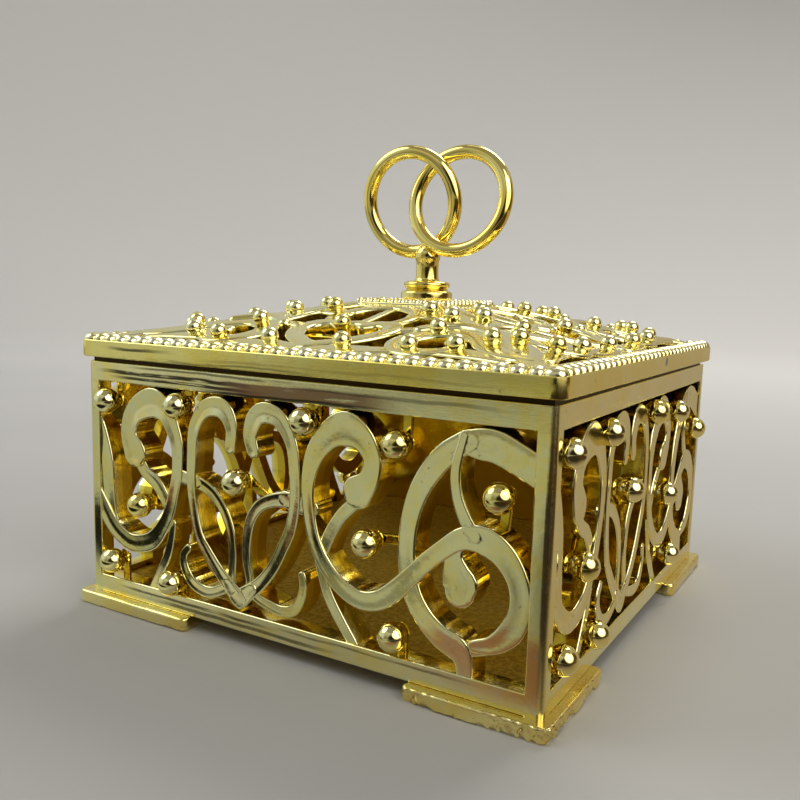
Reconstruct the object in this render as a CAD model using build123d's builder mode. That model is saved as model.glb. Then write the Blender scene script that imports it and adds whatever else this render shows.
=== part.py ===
from build123d import *
import os
from math import atan2, cos, hypot, sin

# Square openwork box on corner feet, with a sloping scrollwork lid and two linked rings on top.
# Millimetres. Origin at the centre of the footprint on the table, +Z up, the front faces -Y.

# ---------------------------------------------------------------- body
BODY = 60.0            # outside of the square body
HALF = BODY / 2
BODY_H = 28.7          # height of the side panels
PANEL_T = 2.2          # depth of the scrollwork panels
INSIDE = BODY - 2 * PANEL_T
FACE_T = 1.1           # depth of the stiles before they step into the corner posts
TOP_RAIL = 2.4
BOTTOM_RAIL = 2.2
STILE = 1.0
POST = 2.4             # width of the corner post behind a stile
CORNER_R = 0.8
FLOOR_T = 1.5
FLOOR_CHAMFER = 0.3

BACK_WALL_T = 0.7      # closed wall behind the back panel's scrollwork
BACK_WALL_PLAY = 0.1   # how much narrower it is than the inside
BACK_WALL_CUT = 2.4    # how much lower it is than the panel

STUD_R = 1.5           # ball heads of the side studs
STUD_OUT = 0.25        # ball centre in front of the panel face
SHANK_R = 0.8
SHANK_DEPTH = 0.9      # start of the shank behind the panel face
WEB_W = 1.4            # recessed webs that carry the studs
WEB_T = 0.7
WEB_RING = 0.5         # web material around a shank

FOOT_T = 1.6           # thickness of the corner feet
FOOT_EDGE = HALF + 1.2 # outside of the feet, from the centre
FOOT_W = 6.0           # width of a foot's leg
FOOT_TAPER = 1.0       # how much shorter a leg is on its inner side
FOOT_FILLET = 0.9
FOOT_CHAMFER = 0.25
# name: side in x, side in y, leg length along x, leg length along y
FEET = {
    "foot_front_left": (-1, -1, 18.2, 16.0),
    "foot_front_right": (1, -1, 15.6, 15.7),
    "foot_back_right": (1, 1, 16.0, 17.2),
    "foot_back_left": (-1, 1, 16.0, 16.0),
}

# ---------------------------------------------------------------- lid
LID = 61.54            # outside of the lid rim
LID_IN = 56.6          # inside of the lid rim
SEAM = 0.54            # shadow gap between body and rim
RIM_H = 2.06
LIP_OUT = INSIDE - 2 * 0.2  # locating lip, 0.2 clear of the panels all round
LIP_IN = 53.0
LIP_H = 2.6
LIP_CORNER_R = 0.6
SEAT = 59.0            # seat flange that makes the shadow gap
RIM_MOULD = LID - 1.0  # outside of the moulding on the rim
RIM_MOULD_H = 0.62
RIM_MOULD_R = 0.5      # its corners and its top edges

SLOPE_OUT = 28.4       # the scrollwork slopes from this distance off centre ...
SLOPE_OUT_Z = 31.7     # ... at this height over the body's lower edge ...
SLOPE_IN = 7.2         # ... to here
SLOPE_IN_Z = 36.3
SCROLL_T = 1.8         # depth of the lid scrollwork
EDGE_STRIP = 1.0       # strip along the lower edge of a slope
TOP_STRIP = 1.1        # strip along its upper edge
HIP_HALF = 2.2         # half width of the strips along the hips
OVERRUN = 2.0          # how far trimmed shapes run past the edge that trims them
TRIM_H = 20.0          # height of the block that trims one lid side

PEG_R = 0.82
PEG_SHANK_R = 0.64
PEG_OUT = 0.95         # head centre above the scrollwork
PEG_WEB_W = 1.1
PEG_WEB_DEPTH = 1.1    # top of the peg webs below the scrollwork face
PEG_WEB_RING = 0.4     # web material around a peg shank

PLATFORM = 14.0
PLATFORM_T = 2.0
PLATFORM_MOULD_H = 0.5
PLATFORM_MOULD_R = 0.3

Z0 = FOOT_T                     # body's lower edge
Z_TOP = Z0 + BODY_H             # body's upper edge
Z_RIM = Z_TOP + SEAM            # underside of the lid rim
Z_PLATFORM = Z0 + 36.6          # top of the platform
Z_UNDER = Z_PLATFORM - PLATFORM_T
RISE = SLOPE_IN_Z - SLOPE_OUT_Z
SLOPE = atan2(RISE, SLOPE_OUT - SLOPE_IN)
SLOPE_L = hypot(RISE, SLOPE_OUT - SLOPE_IN)

# ---------------------------------------------------------------- finial
HOLE_R = 1.2           # hole through platform and collar, filled by the stem
COLLAR_R1 = 3.4        # lower step of the collar
COLLAR_R2 = 3.0        # upper step
COLLAR_H = 2.8
STEM_R = 1.6
Z_STEM = Z0 + 42.6     # foot of the stem's domed saddle, roughly
HEAD_R = 2.2           # stem head under the platform
HEAD_H = 0.9
HEAD_BEVEL = 0.3
RING_R = 6.42          # centre-line radius of each ring
WIRE_R = 0.92
Z_RING = Z0 + 49.65
RING_TILT = 10.3       # degrees off upright, one ring each way, so that they link
# name: centre in x, lean
RINGS = {"ring_left": (-2.7, -RING_TILT), "ring_right": (4.4, RING_TILT)}
# collar section: radius, height over the platform
COLLAR_PROFILE = [
    (HOLE_R, 0), (COLLAR_R1 - 0.25, 0), (COLLAR_R1, 0.25), (COLLAR_R1, 1.2),
    (COLLAR_R1 - 0.25, 1.5), (COLLAR_R2 - 0.35, 1.65), (COLLAR_R2, 1.85), (COLLAR_R2, 2.5),
    (COLLAR_R2 - 0.35, COLLAR_H), (HOLE_R, COLLAR_H),
]
# stem section up to the saddle: radius, z
STEM_PROFILE = [
    (0, Z_UNDER - HEAD_H), (HEAD_R - HEAD_BEVEL, Z_UNDER - HEAD_H),
    (HEAD_R, Z_UNDER - HEAD_H + HEAD_BEVEL), (HEAD_R, Z_UNDER), (HOLE_R, Z_UNDER),
    (HOLE_R, Z_PLATFORM + COLLAR_H), (STEM_R, Z_PLATFORM + COLLAR_H), (STEM_R, Z_STEM - 0.4),
]
# the curve over the saddle, on from there: radius, z
SADDLE_PROFILE = [
    (STEM_R + 0.12, Z_STEM + 0.3), (STEM_R - 0.2, Z_STEM + 1.1), (0.9, Z_STEM + 1.7),
    (0, Z_STEM + 1.9),
]

# ---------------------------------------------------------------- scrollwork tables
# Panel bands, in the panel's own plane seen from outside:
# centre line across from the middle, up from the lower edge, band width
PANEL_STROKES = [
    # left spiral scroll and its inner tendril
    [(-22.3, 18.2, 3.58), (-23.3, 20.5, 2.58), (-22.3, 23.0, 2.91), (-19.5, 24.4, 3.58),
     (-17.3, 23.6, 2.8), (-16.2, 22.0, 2.24), (-15.4, 20.0, 1.9), (-15.3, 18.0, 1.68),
     (-15.5, 16.0, 1.57), (-16.0, 14.0, 1.57), (-16.6, 12.0, 1.68), (-17.7, 10.0, 1.79),
     (-19.5, 7.95, 2.24), (-22.0, 7.1, 2.24), (-24.0, 7.3, 2.24), (-26.3, 8.7, 2.24),
     (-28.4, 11.3, 2.24), (-29.6, 13.2, 2.02)],
    [(-21.7, 17.0, 1.68), (-20.6, 15.8, 1.68), (-19.0, 14.9, 1.68), (-17.7, 13.3, 1.68),
     (-16.9, 11.8, 1.46)],
    # leaf against the left stile
    [(-29.7, 22.0, 2.91), (-28.3, 19.5, 2.46), (-27.3, 16.5, 2.13), (-27.0, 13.0, 2.02),
     (-26.6, 10.3, 1.79), (-25.9, 8.2, 1.57)],
    # left stem
    [(-16.4, 10.4, 1.01), (-16.7, 8.6, 1.06), (-17.3, 6.5, 1.23), (-18.3, 4.5, 1.23),
     (-19.9, 1.7, 1.12)],
    # heart, left and right lobes
    [(-7.4, 20.6, 1.57), (-7.2, 22.5, 1.68), (-7.9, 24.2, 2.24), (-9.3, 24.9, 2.35),
     (-11.3, 24.3, 2.02), (-12.8, 22.0, 1.57), (-13.1, 19.0, 1.46), (-13.2, 16.0, 1.34),
     (-12.9, 13.0, 1.29), (-12.1, 10.0, 1.34), (-10.8, 8.2, 1.46), (-8.9, 6.1, 1.57),
     (-7.2, 4.6, 1.9), (-6.0, 3.6, 2.24)],
    [(-4.2, 20.6, 1.68), (-4.6, 22.3, 1.9), (-3.9, 24.2, 2.24), (-2.5, 24.9, 2.35),
     (-0.5, 24.3, 2.02), (1.0, 22.0, 1.57), (1.5, 19.0, 1.46), (1.6, 16.0, 1.46),
     (1.1, 13.0, 1.46), (0.0, 10.5, 1.46), (-1.3, 8.1, 1.46), (-3.0, 6.0, 1.57),
     (-4.7, 4.6, 1.9), (-6.0, 3.6, 2.24)],
    # ties between the scrolls
    [(-15.6, 16.4, 1.57), (-14.0, 16.1, 1.68), (-12.5, 15.9, 1.68)],
    [(0.2, 15.9, 1.9), (1.6, 15.6, 2.02), (3.6, 15.4, 1.9)],
    # petals inside the heart
    [(-13.2, 15.9, 1.57), (-11.8, 15.75, 1.57), (-10.0, 14.9, 1.46), (-8.4, 13.2, 1.34),
     (-7.4, 11.0, 1.23), (-7.1, 8.5, 1.12), (-7.2, 6.0, 1.12), (-6.9, 4.3, 1.12)],
    [(1.6, 15.9, 1.79), (0.4, 15.85, 1.79), (-1.5, 15.5, 1.57), (-3.3, 14.6, 1.46),
     (-4.6, 12.7, 1.34), (-5.1, 10.0, 1.23), (-5.0, 8.0, 1.23), (-4.6, 6.0, 1.12),
     (-4.9, 4.4, 1.12)],
    # curls under the heart
    [(-7.2, 4.9, 1.23), (-8.3, 4.3, 1.34), (-9.8, 3.6, 1.34), (-11.3, 3.4, 1.46),
     (-13.1, 4.0, 1.46), (-14.3, 5.5, 1.29), (-14.5, 7.0, 1.12), (-13.8, 8.0, 1.01)],
    [(-4.6, 4.9, 1.23), (-3.3, 4.2, 1.23), (-1.6, 3.7, 1.34), (0.0, 3.5, 1.34),
     (1.6, 4.0, 1.34), (2.5, 5.5, 1.12), (2.8, 7.0, 1.01), (2.6, 8.0, 1.01)],
    # large spiral band and its inner tendril
    [(9.5, 18.1, 3.58), (10.8, 19.6, 2.35), (11.1, 21.6, 2.13), (9.9, 23.5, 2.8),
     (7.8, 24.3, 3.7), (5.7, 23.3, 2.91), (4.0, 21.0, 2.24), (3.3, 18.0, 1.68),
     (3.5, 15.0, 1.57), (4.3, 12.0, 1.57), (5.7, 9.7, 1.79), (7.7, 7.9, 1.9),
     (10.0, 7.05, 2.02), (12.3, 7.5, 2.13), (14.5, 9.2, 2.13), (17.0, 11.9, 1.9),
     (19.5, 14.2, 1.9), (21.3, 15.4, 2.24), (23.4, 15.6, 2.8), (25.5, 14.5, 2.58),
     (27.0, 12.3, 2.24), (27.3, 9.8, 2.24), (26.5, 7.5, 2.46), (24.8, 5.9, 1.9),
     (22.9, 5.3, 1.34)],
    [(9.2, 17.0, 1.46), (7.5, 15.4, 1.46), (6.2, 13.5, 1.46), (5.3, 11.4, 1.46),
     (5.2, 10.2, 1.34)],
    # right stem
    [(4.3, 11.2, 1.01), (5.0, 9.0, 1.12), (6.0, 6.5, 1.34), (7.5, 4.2, 1.34),
     (9.5, 1.7, 1.12)],
    # large C scroll and its fishtail
    [(21.6, 24.7, 2.24), (20.9, 24.3, 2.35), (18.7, 22.6, 2.46), (16.6, 19.5, 2.24),
     (15.5, 16.0, 2.02), (15.3, 12.5, 2.02), (15.9, 9.3, 2.13), (17.3, 7.0, 2.24),
     (19.2, 5.4, 2.46), (21.2, 4.5, 2.58), (21.9, 3.2, 1.9), (22.0, 1.6, 1.68)],
    [(20.6, 4.7, 2.13), (22.4, 4.8, 1.46), (24.2, 5.0, 0.78)],
    # band into the top right corner
    [(21.4, 24.5, 2.46), (22.6, 24.5, 3.02), (24.3, 24.4, 3.14), (26.3, 23.6, 3.02),
     (28.0, 22.8, 3.02), (29.6, 22.1, 3.02)],
    # thin strip from the C down to the band
    [(21.1, 25.2, 1.01), (20.35, 22.0, 1.12), (20.5, 19.5, 1.23), (21.5, 17.2, 1.46),
     (22.6, 15.8, 1.46)],
    # teardrop inside the ring of the band
    [(20.9, 14.9, 1.34), (20.4, 13.6, 1.9), (20.6, 12.2, 2.91), (21.1, 10.9, 3.81),
     (21.1, 10.2, 3.25)],
]
# filled web between the leaf and the left stile: across, up
LEAF_WEB = [
    (-29.6, 21.0), (-28.2, 18.5), (-27.5, 15.5), (-27.2, 12.0), (-28.0, 11.3), (-29.6, 13.0),
]
# ball studs: across, up, and the points their webs run to
STUDS = [
    (-26.5, 24.1, [(-26.5, 27.0)]),
    (-15.0, 24.5, [(-15.0, 27.0)]),
    (-21.0, 12.1, [(-16.8, 12.4)]),
    (-25.9, 4.4, [(-25.9, 1.2)]),
    (-16.1, 3.5, [(-16.1, 1.2)]),
    (-6.2, 16.9, [(-9.4, 14.4), (-3.0, 14.8)]),
    (2.9, 24.6, [(2.9, 27.0)]),
    (14.1, 23.5, [(14.1, 27.0)]),
    (10.9, 13.2, [(15.3, 13.6)]),
    (25.0, 19.9, [(24.6, 15.5)]),
    (14.2, 4.3, [(14.2, 1.2)]),
]
# Lid bands on one slope: along the edge, up the slope, band width; each is mirrored about 0
LID_STROKES = [
    # big scroll and its tail into the corner
    [(15.3, 7.0, 2.0), (16.6, 5.6, 1.8), (15.9, 3.5, 2.0), (13.4, 2.4, 2.4), (10.7, 3.6, 2.7),
     (9.6, 6.3, 2.9), (10.9, 9.2, 3.1), (14.0, 10.6, 3.2), (17.3, 9.0, 2.9), (19.4, 6.2, 2.6),
     (22.2, 3.8, 2.5), (26.0, 2.6, 2.4)],
    # corner leaf
    [(18.4, 8.6, 1.8), (20.6, 7.6, 2.2), (22.6, 5.9, 2.0), (24.6, 3.9, 1.6)],
    # heart over the middle of the edge
    [(0.0, 2.6, 2.6), (2.0, 4.0, 2.3), (4.6, 6.4, 2.4), (5.9, 9.2, 2.5), (5.2, 11.8, 2.5),
     (3.0, 12.4, 2.2), (1.6, 11.0, 1.5)],
    # leaf above the heart
    [(0.0, 12.7, 1.6), (2.2, 12.3, 1.6), (4.4, 13.2, 1.8), (5.2, 15.8, 1.9), (4.3, 18.6, 1.9),
     (2.2, 20.4, 1.8), (0.0, 21.4, 1.8)],
    # long arch from the big scroll up to the platform
    [(10.9, 12.4, 1.8), (10.2, 14.6, 2.0), (9.6, 16.8, 2.1), (8.3, 19.2, 2.1), (6.2, 21.4, 2.0)],
    # short arch over the big scroll
    [(9.4, 10.6, 1.5), (11.2, 12.2, 1.9), (13.6, 12.9, 2.0), (15.7, 12.3, 1.9), (17.6, 10.9, 1.5)],
    # small links
    [(6.0, 10.6, 1.6), (8.0, 11.2, 1.8), (10.2, 11.4, 1.6)],
    [(1.5, 1.75, 2.0), (4.8, 2.2, 2.8), (8.4, 2.4, 2.3), (11.0, 3.0, 2.0)],
    [(4.6, 17.3, 1.7), (6.8, 17.8, 2.6), (9.2, 17.8, 1.7)],
    [(15.6, 3.3, 2.0), (17.6, 3.5, 2.7), (20.4, 3.0, 2.3), (23.0, 2.2, 2.0)],
]
# straight stem in the middle of the leaf: from and to up the slope, width
STEM_FROM, STEM_TO, STEM_W = 12.6, 21.2, 1.3
# lid pegs: along the edge, up the slope; those off the middle are mirrored
LID_PEGS = [
    (0.0, 9.4), (4.8, 2.3), (6.8, 17.8), (12.2, 9.8),
    (12.6, 2.7), (17.4, 3.7), (19.8, 6.8), (11.0, 15.2),
]
PEG_POINTS = [(side * x, y) for x, y in LID_PEGS for side in ((1, -1) if x else (1,))]
# the middle peg stands in the heart's opening, on webs that run to these points
PEG_WEB_ENDS = [(5.6, 9.6), (-5.6, 9.6)]

FRONT = Plane(origin=(0, -HALF, Z0), x_dir=(1, 0, 0), z_dir=(0, -1, 0))
SLOPE_FRONT = Plane(origin=(0, -SLOPE_OUT, Z0 + SLOPE_OUT_Z), x_dir=(1, 0, 0),
                    z_dir=(0, -sin(SLOPE), cos(SLOPE)))
# turns about Z that carry a front piece to the other sides
TURNS = {"right": 90, "back": 180, "left": 270}


# ---------------------------------------------------------------- helpers
def smooth(points, steps=2):
    """Points along a Catmull-Rom curve through the given (x, y, width) points."""
    first = tuple(2 * a - b for a, b in zip(points[0], points[1]))
    last = tuple(2 * a - b for a, b in zip(points[-1], points[-2]))
    run = [first, *points, last]
    out = []
    for four in zip(run, run[1:], run[2:], run[3:]):
        for k in range(steps):
            t = k / steps
            out.append(tuple(
                0.5 * (2 * b + (c - a) * t + (2 * a - 5 * b + 4 * c - d) * t * t
                       + (3 * b - a - 3 * c + d) * t ** 3)
                for a, b, c, d in zip(*four)))
    out.append(tuple(float(value) for value in points[-1]))
    return out


def band_sides(points, sign=1):
    """Left and right edges of a band of changing width, and its centre line."""
    line = [(sign * x, y, width) for x, y, width in smooth(points)]
    left, right = [], []
    for i, (x, y, width) in enumerate(line):
        x_before, y_before, _ = line[max(i - 1, 0)]
        x_after, y_after, _ = line[min(i + 1, len(line) - 1)]
        along_x, along_y = x_after - x_before, y_after - y_before
        length = hypot(along_x, along_y)
        normal_x, normal_y = -along_y / length, along_x / length
        left.append((x + normal_x * width / 2, y + normal_y * width / 2))
        right.append((x - normal_x * width / 2, y - normal_y * width / 2))
    return left, right, line


def draw_band_edges(left, right):
    """Closed outline of a band, drawn into the current BuildLine."""
    Spline(*left)
    Line(left[-1], right[-1])
    Spline(*reversed(right))
    Line(right[0], left[0])


def draw_band_ends(line):
    """Round ends of a band, drawn into the current BuildSketch."""
    for x, y, width in (line[0], line[-1]):
        with Locations((x, y)):
            Circle(width / 2)


def strip_corners(start, end, width):
    """Corners of a straight strip between two points."""
    (x, y), (end_x, end_y) = start, end
    length = hypot(end_x - x, end_y - y)
    off_x = -(end_y - y) / length * width / 2
    off_y = (end_x - x) / length * width / 2
    return [(x + off_x, y + off_y), (end_x + off_x, end_y + off_y),
            (end_x - off_x, end_y - off_y), (x - off_x, y - off_y)]


def turned(piece, angle):
    """Copy of a piece turned about Z."""
    with BuildPart() as copy:
        add(piece, rotation=(0, 0, angle))
    return copy.part


# ---------------------------------------------------------------- side panels
def panel_face():
    """Frame and scrollwork of a panel."""
    with BuildSketch(Plane.XY) as face:
        with Locations((0, BODY_H / 2)):
            Rectangle(BODY, BODY_H)
        with Locations((0, (BOTTOM_RAIL + BODY_H - TOP_RAIL) / 2)):
            Rectangle(BODY - 2 * STILE, BODY_H - TOP_RAIL - BOTTOM_RAIL, mode=Mode.SUBTRACT)
        for stroke in PANEL_STROKES:
            left, right, line = band_sides(stroke)
            with BuildLine():
                draw_band_edges(left, right)
            make_face()
            draw_band_ends(line)
        with BuildLine():
            Polyline(*LEAF_WEB, close=True)
        make_face()
        # nothing of a scroll runs out past the frame
        with Locations((0, BODY_H / 2)):
            Rectangle(BODY, BODY_H, mode=Mode.INTERSECT)
    return face.sketch


def stud_webs():
    """Webs that carry the studs."""
    with BuildSketch(Plane.XY) as webs:
        for x, y, ends in STUDS:
            for end in ends:
                with BuildLine():
                    Polyline(*strip_corners((x, y), end, WEB_W), close=True)
                make_face()
            with Locations((x, y)):
                Circle(SHANK_R + WEB_RING)
    return webs.sketch


def front_studs():
    """Ball heads on short shanks that run to the back of the panel."""
    with BuildPart() as studs:
        with BuildSketch(FRONT.offset(-SHANK_DEPTH)):
            with Locations(*[(x, y) for x, y, _ in STUDS]):
                Circle(SHANK_R)
        extrude(amount=-(PANEL_T - SHANK_DEPTH))
        with Locations(*[(x, -HALF - STUD_OUT, Z0 + y) for x, y, _ in STUDS]):
            Sphere(STUD_R)
    return studs.part


def front_panel(studs):
    """Scrollwork panel, mitred at both ends."""
    face = panel_face()
    webs = stud_webs()
    with BuildPart() as panel:
        with BuildSketch(FRONT):
            add(face)
        extrude(amount=-PANEL_T)
        with BuildSketch(FRONT.offset(-FACE_T)):
            for side in (-1, 1):
                with Locations((side * (HALF - POST / 2), BODY_H / 2)):
                    Rectangle(POST, BODY_H)
        extrude(amount=-(PANEL_T - FACE_T))
        with BuildSketch(FRONT.offset(-(PANEL_T - WEB_T))):
            add(webs)
        extrude(amount=-WEB_T)
        with BuildSketch(Plane.XY.offset(Z0)):
            RectangleRounded(BODY, BODY, CORNER_R)
            reach = HALF + OVERRUN
            with BuildLine():
                Polyline((0, 0), (reach, -reach), (-reach, -reach), close=True)
            make_face(mode=Mode.INTERSECT)
        extrude(amount=BODY_H, mode=Mode.INTERSECT)
        add(studs, mode=Mode.SUBTRACT)
    return panel.part


def back_panel(panel_front, studs):
    """The same scrollwork in relief on a thin closed wall."""
    with BuildPart() as panel:
        add(panel_front, rotation=(0, 0, TURNS["back"]))
        with Locations((0, HALF - PANEL_T + BACK_WALL_T / 2, Z0 + BODY_H / 2)):
            Box(INSIDE - BACK_WALL_PLAY, BACK_WALL_T, BODY_H - BACK_WALL_CUT)
        add(studs, mode=Mode.SUBTRACT)
    return panel.part


# ---------------------------------------------------------------- floor and feet
def base_plate():
    """Floor between the panels, its top edge chamfered."""
    with BuildPart() as plate:
        with BuildSketch(Plane.XY.offset(Z0)):
            Rectangle(INSIDE, INSIDE)
        extrude(amount=FLOOR_T)
        chamfer(plate.faces().sort_by(Axis.Z)[-1].edges(), FLOOR_CHAMFER)
    return plate.part


def corner_foot(side_x, side_y, x_leg, y_leg):
    """L-shaped plate under one corner."""
    outer = FOOT_EDGE
    inner = FOOT_EDGE - FOOT_W
    corners = [
        (outer, outer), (outer - x_leg, outer), (outer - x_leg + FOOT_TAPER, inner),
        (inner, inner), (inner, outer - y_leg + FOOT_TAPER), (outer, outer - y_leg),
    ]
    with BuildPart() as foot:
        with BuildSketch(Plane.XY) as outline:
            with BuildLine():
                Polyline(*[(side_x * x, side_y * y) for x, y in corners], close=True)
            make_face()
            fillet(outline.vertices(), FOOT_FILLET)
        extrude(amount=FOOT_T)
        chamfer(foot.faces().sort_by(Axis.Z)[0].edges(), FOOT_CHAMFER)
    return foot.part


# ---------------------------------------------------------------- lid
def lid_rim():
    with BuildPart() as rim:
        with BuildSketch(Plane.XY.offset(Z_RIM)):
            RectangleRounded(LID, LID, CORNER_R)
            Rectangle(LID_IN, LID_IN, mode=Mode.SUBTRACT)
        extrude(amount=RIM_H)
    return rim.part


def lid_lip():
    """Seat flange and locating lip, one ring under the rim."""
    with BuildPart() as lip:
        with BuildSketch(Plane.XY.offset(Z_TOP)):
            Rectangle(SEAT, SEAT)
            Rectangle(LIP_IN, LIP_IN, mode=Mode.SUBTRACT)
        extrude(amount=SEAM)
        with BuildSketch(Plane.XY.offset(Z_TOP - LIP_H)):
            RectangleRounded(LIP_OUT, LIP_OUT, LIP_CORNER_R)
            Rectangle(LIP_IN, LIP_IN, mode=Mode.SUBTRACT)
        extrude(amount=LIP_H)
    return lip.part


def lid_bead_border():
    """Rounded moulding on top of the rim."""
    with BuildPart() as border:
        with BuildSketch(Plane.XY.offset(Z_RIM + RIM_H)):
            RectangleRounded(RIM_MOULD, RIM_MOULD, RIM_MOULD_R)
            Rectangle(LID_IN, LID_IN, mode=Mode.SUBTRACT)
        extrude(amount=RIM_MOULD_H)
        fillet(border.faces().sort_by(Axis.Z)[-1].edges(), RIM_MOULD_R)
    return border.part


def lid_face():
    """Edge strips, hips and scrollwork of one slope, before trimming."""
    strips = [  # half width, from and to up the slope
        (SLOPE_OUT + OVERRUN, -OVERRUN, EDGE_STRIP),
        (SLOPE_IN + OVERRUN, SLOPE_L - TOP_STRIP, SLOPE_L + OVERRUN),
    ]
    with BuildSketch(Plane.XY) as face:
        for half, low, high in strips:
            with BuildLine():
                Polyline((-half, low), (half, low), (half, high), (-half, high), close=True)
            make_face()
        for side in (-1, 1):
            with BuildLine():
                Polyline((side * (SLOPE_OUT - HIP_HALF), 0), (side * (SLOPE_OUT + HIP_HALF), 0),
                         (side * (SLOPE_IN + HIP_HALF), SLOPE_L),
                         (side * (SLOPE_IN - HIP_HALF), SLOPE_L), close=True)
            make_face()
            for stroke in LID_STROKES:
                left, right, line = band_sides(stroke, sign=side)
                with BuildLine():
                    draw_band_edges(left, right)
                make_face()
                draw_band_ends(line)
        with Locations((0, (STEM_FROM + STEM_TO) / 2)):
            Rectangle(STEM_W, STEM_TO - STEM_FROM)
    return face.sketch


def peg_webs():
    """Rings around the peg shanks, and the strips to the middle peg."""
    with BuildSketch(Plane.XY) as webs:
        for point in PEG_POINTS:
            with Locations(point):
                Circle(PEG_SHANK_R + PEG_WEB_RING)
        for end in PEG_WEB_ENDS:
            with BuildLine():
                Polyline(*strip_corners(PEG_POINTS[0], end, PEG_WEB_W), close=True)
            make_face()
    return webs.sketch


def front_pegs():
    """Round-headed pegs of the front slope, through the scrollwork."""
    head_plane = SLOPE_FRONT.offset(PEG_OUT)
    with BuildPart() as pegs:
        with BuildSketch(head_plane):
            with Locations(*PEG_POINTS):
                Circle(PEG_SHANK_R)
        extrude(amount=-(PEG_OUT + SCROLL_T))
        with Locations(*[head_plane.from_local_coords(Vector(x, y, 0)) for x, y in PEG_POINTS]):
            Sphere(PEG_R)
    return pegs.part


def all_pegs(pegs_front):
    with BuildPart() as pegs:
        for turn in (0, *TURNS.values()):
            add(pegs_front, rotation=(0, 0, turn))
    return pegs.part


def front_lid_scroll(pegs):
    """Front slope, trimmed to its quarter between rim and platform."""
    face = lid_face()
    webs = peg_webs()
    outer, inner = LID_IN / 2, PLATFORM / 2
    with BuildPart() as scroll:
        with BuildSketch(SLOPE_FRONT):
            add(face)
        extrude(amount=-SCROLL_T)
        with BuildSketch(SLOPE_FRONT.offset(-PEG_WEB_DEPTH)):
            add(webs)
        extrude(amount=-(SCROLL_T - PEG_WEB_DEPTH))
        with BuildSketch(Plane.XY.offset(Z_RIM - OVERRUN)):
            with BuildLine():
                Polyline((-outer, -outer), (outer, -outer), (inner, -inner), (-inner, -inner),
                         close=True)
            make_face()
        extrude(amount=TRIM_H, mode=Mode.INTERSECT)
        add(pegs, mode=Mode.SUBTRACT)
    return scroll.part


def lid_platform():
    """Flat square in the middle, with the hole for the stem."""
    with BuildPart() as platform:
        with BuildSketch(Plane.XY.offset(Z_PLATFORM)):
            Rectangle(PLATFORM, PLATFORM)
        extrude(amount=-PLATFORM_T)
        with BuildSketch(Plane.XY.offset(Z_PLATFORM)):
            Circle(HOLE_R)
        extrude(amount=-PLATFORM_T, mode=Mode.SUBTRACT)
    return platform.part


def platform_bead_border():
    """Rounded moulding around the platform."""
    outer, inner = PLATFORM - 0.2, PLATFORM - 2.0
    with BuildPart() as border:
        with BuildSketch(Plane.XY.offset(Z_PLATFORM)):
            Rectangle(outer, outer)
            Rectangle(inner, inner, mode=Mode.SUBTRACT)
        extrude(amount=PLATFORM_MOULD_H)
        fillet(border.faces().sort_by(Axis.Z)[-1].edges(), PLATFORM_MOULD_R)
    return border.part


# ---------------------------------------------------------------- finial
def finial_ring(x, lean):
    with BuildPart() as ring:
        with Locations(Location((x, 0, Z_RING), (90 + lean, 0, 0))):
            Torus(RING_R, WIRE_R)
    return ring.part


def finial_collar():
    with BuildPart() as collar:
        with BuildSketch(Plane.XZ):
            with BuildLine():
                Polyline(*[(r, Z_PLATFORM + height) for r, height in COLLAR_PROFILE], close=True)
            make_face()
        revolve(axis=Axis.Z)
    return collar.part


def finial_stem(rings):
    """Stem through collar and platform, headed underneath, its saddle hollowed by the rings."""
    with BuildPart() as stem:
        with BuildSketch(Plane.XZ):
            with BuildLine():
                shaft = Polyline(*STEM_PROFILE)
                saddle = Spline(shaft @ 1, *SADDLE_PROFILE)
                Line(saddle @ 1, shaft @ 0)
            make_face()
        revolve(axis=Axis.Z)
        for ring in rings:
            add(ring, mode=Mode.SUBTRACT)
    return stem.part


# ---------------------------------------------------------------- build and write
studs_front = front_studs()
panel_front = front_panel(studs_front)
pegs_front = front_pegs()
scroll_front = front_lid_scroll(pegs_front)
rings = {name: finial_ring(*place) for name, place in RINGS.items()}

pieces = {
    "base_plate": base_plate(),
    **{name: corner_foot(*shape) for name, shape in FEET.items()},
    "panel_front": panel_front,
    "studs_front": studs_front,
    "lid_rim": lid_rim(),
    "lid_lip": lid_lip(),
    "lid_bead_border": lid_bead_border(),
    "lid_scroll_front": scroll_front,
    "lid_pegs": all_pegs(pegs_front),
    "lid_platform": lid_platform(),
    "platform_bead_border": platform_bead_border(),
    "finial_collar": finial_collar(),
    "finial_stem": finial_stem(rings.values()),
    **rings,
}
for side, turn in TURNS.items():
    studs = turned(studs_front, turn)
    pieces["studs_" + side] = studs
    pieces["lid_scroll_" + side] = turned(scroll_front, turn)
    if side == "back":
        pieces["panel_back"] = back_panel(panel_front, studs)
    else:
        pieces["panel_" + side] = turned(panel_front, turn)

os.makedirs("parts", exist_ok=True)
for name, piece in pieces.items():
    piece.label = name
    export_step(piece, "parts/" + name + ".step")
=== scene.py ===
# A square gold box of pierced scrollwork on four corner feet. Its sloping pierced lid carries a
# platform, a finial and two rings. The box stands on z = 0, centred on the Z axis, and its front
# faces -Y. Lengths are in mm, except where "metres" is said; meshes are written in metres.
import math

import bmesh
import bpy
import numpy as np
from mathutils import Matrix, Vector


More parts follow.
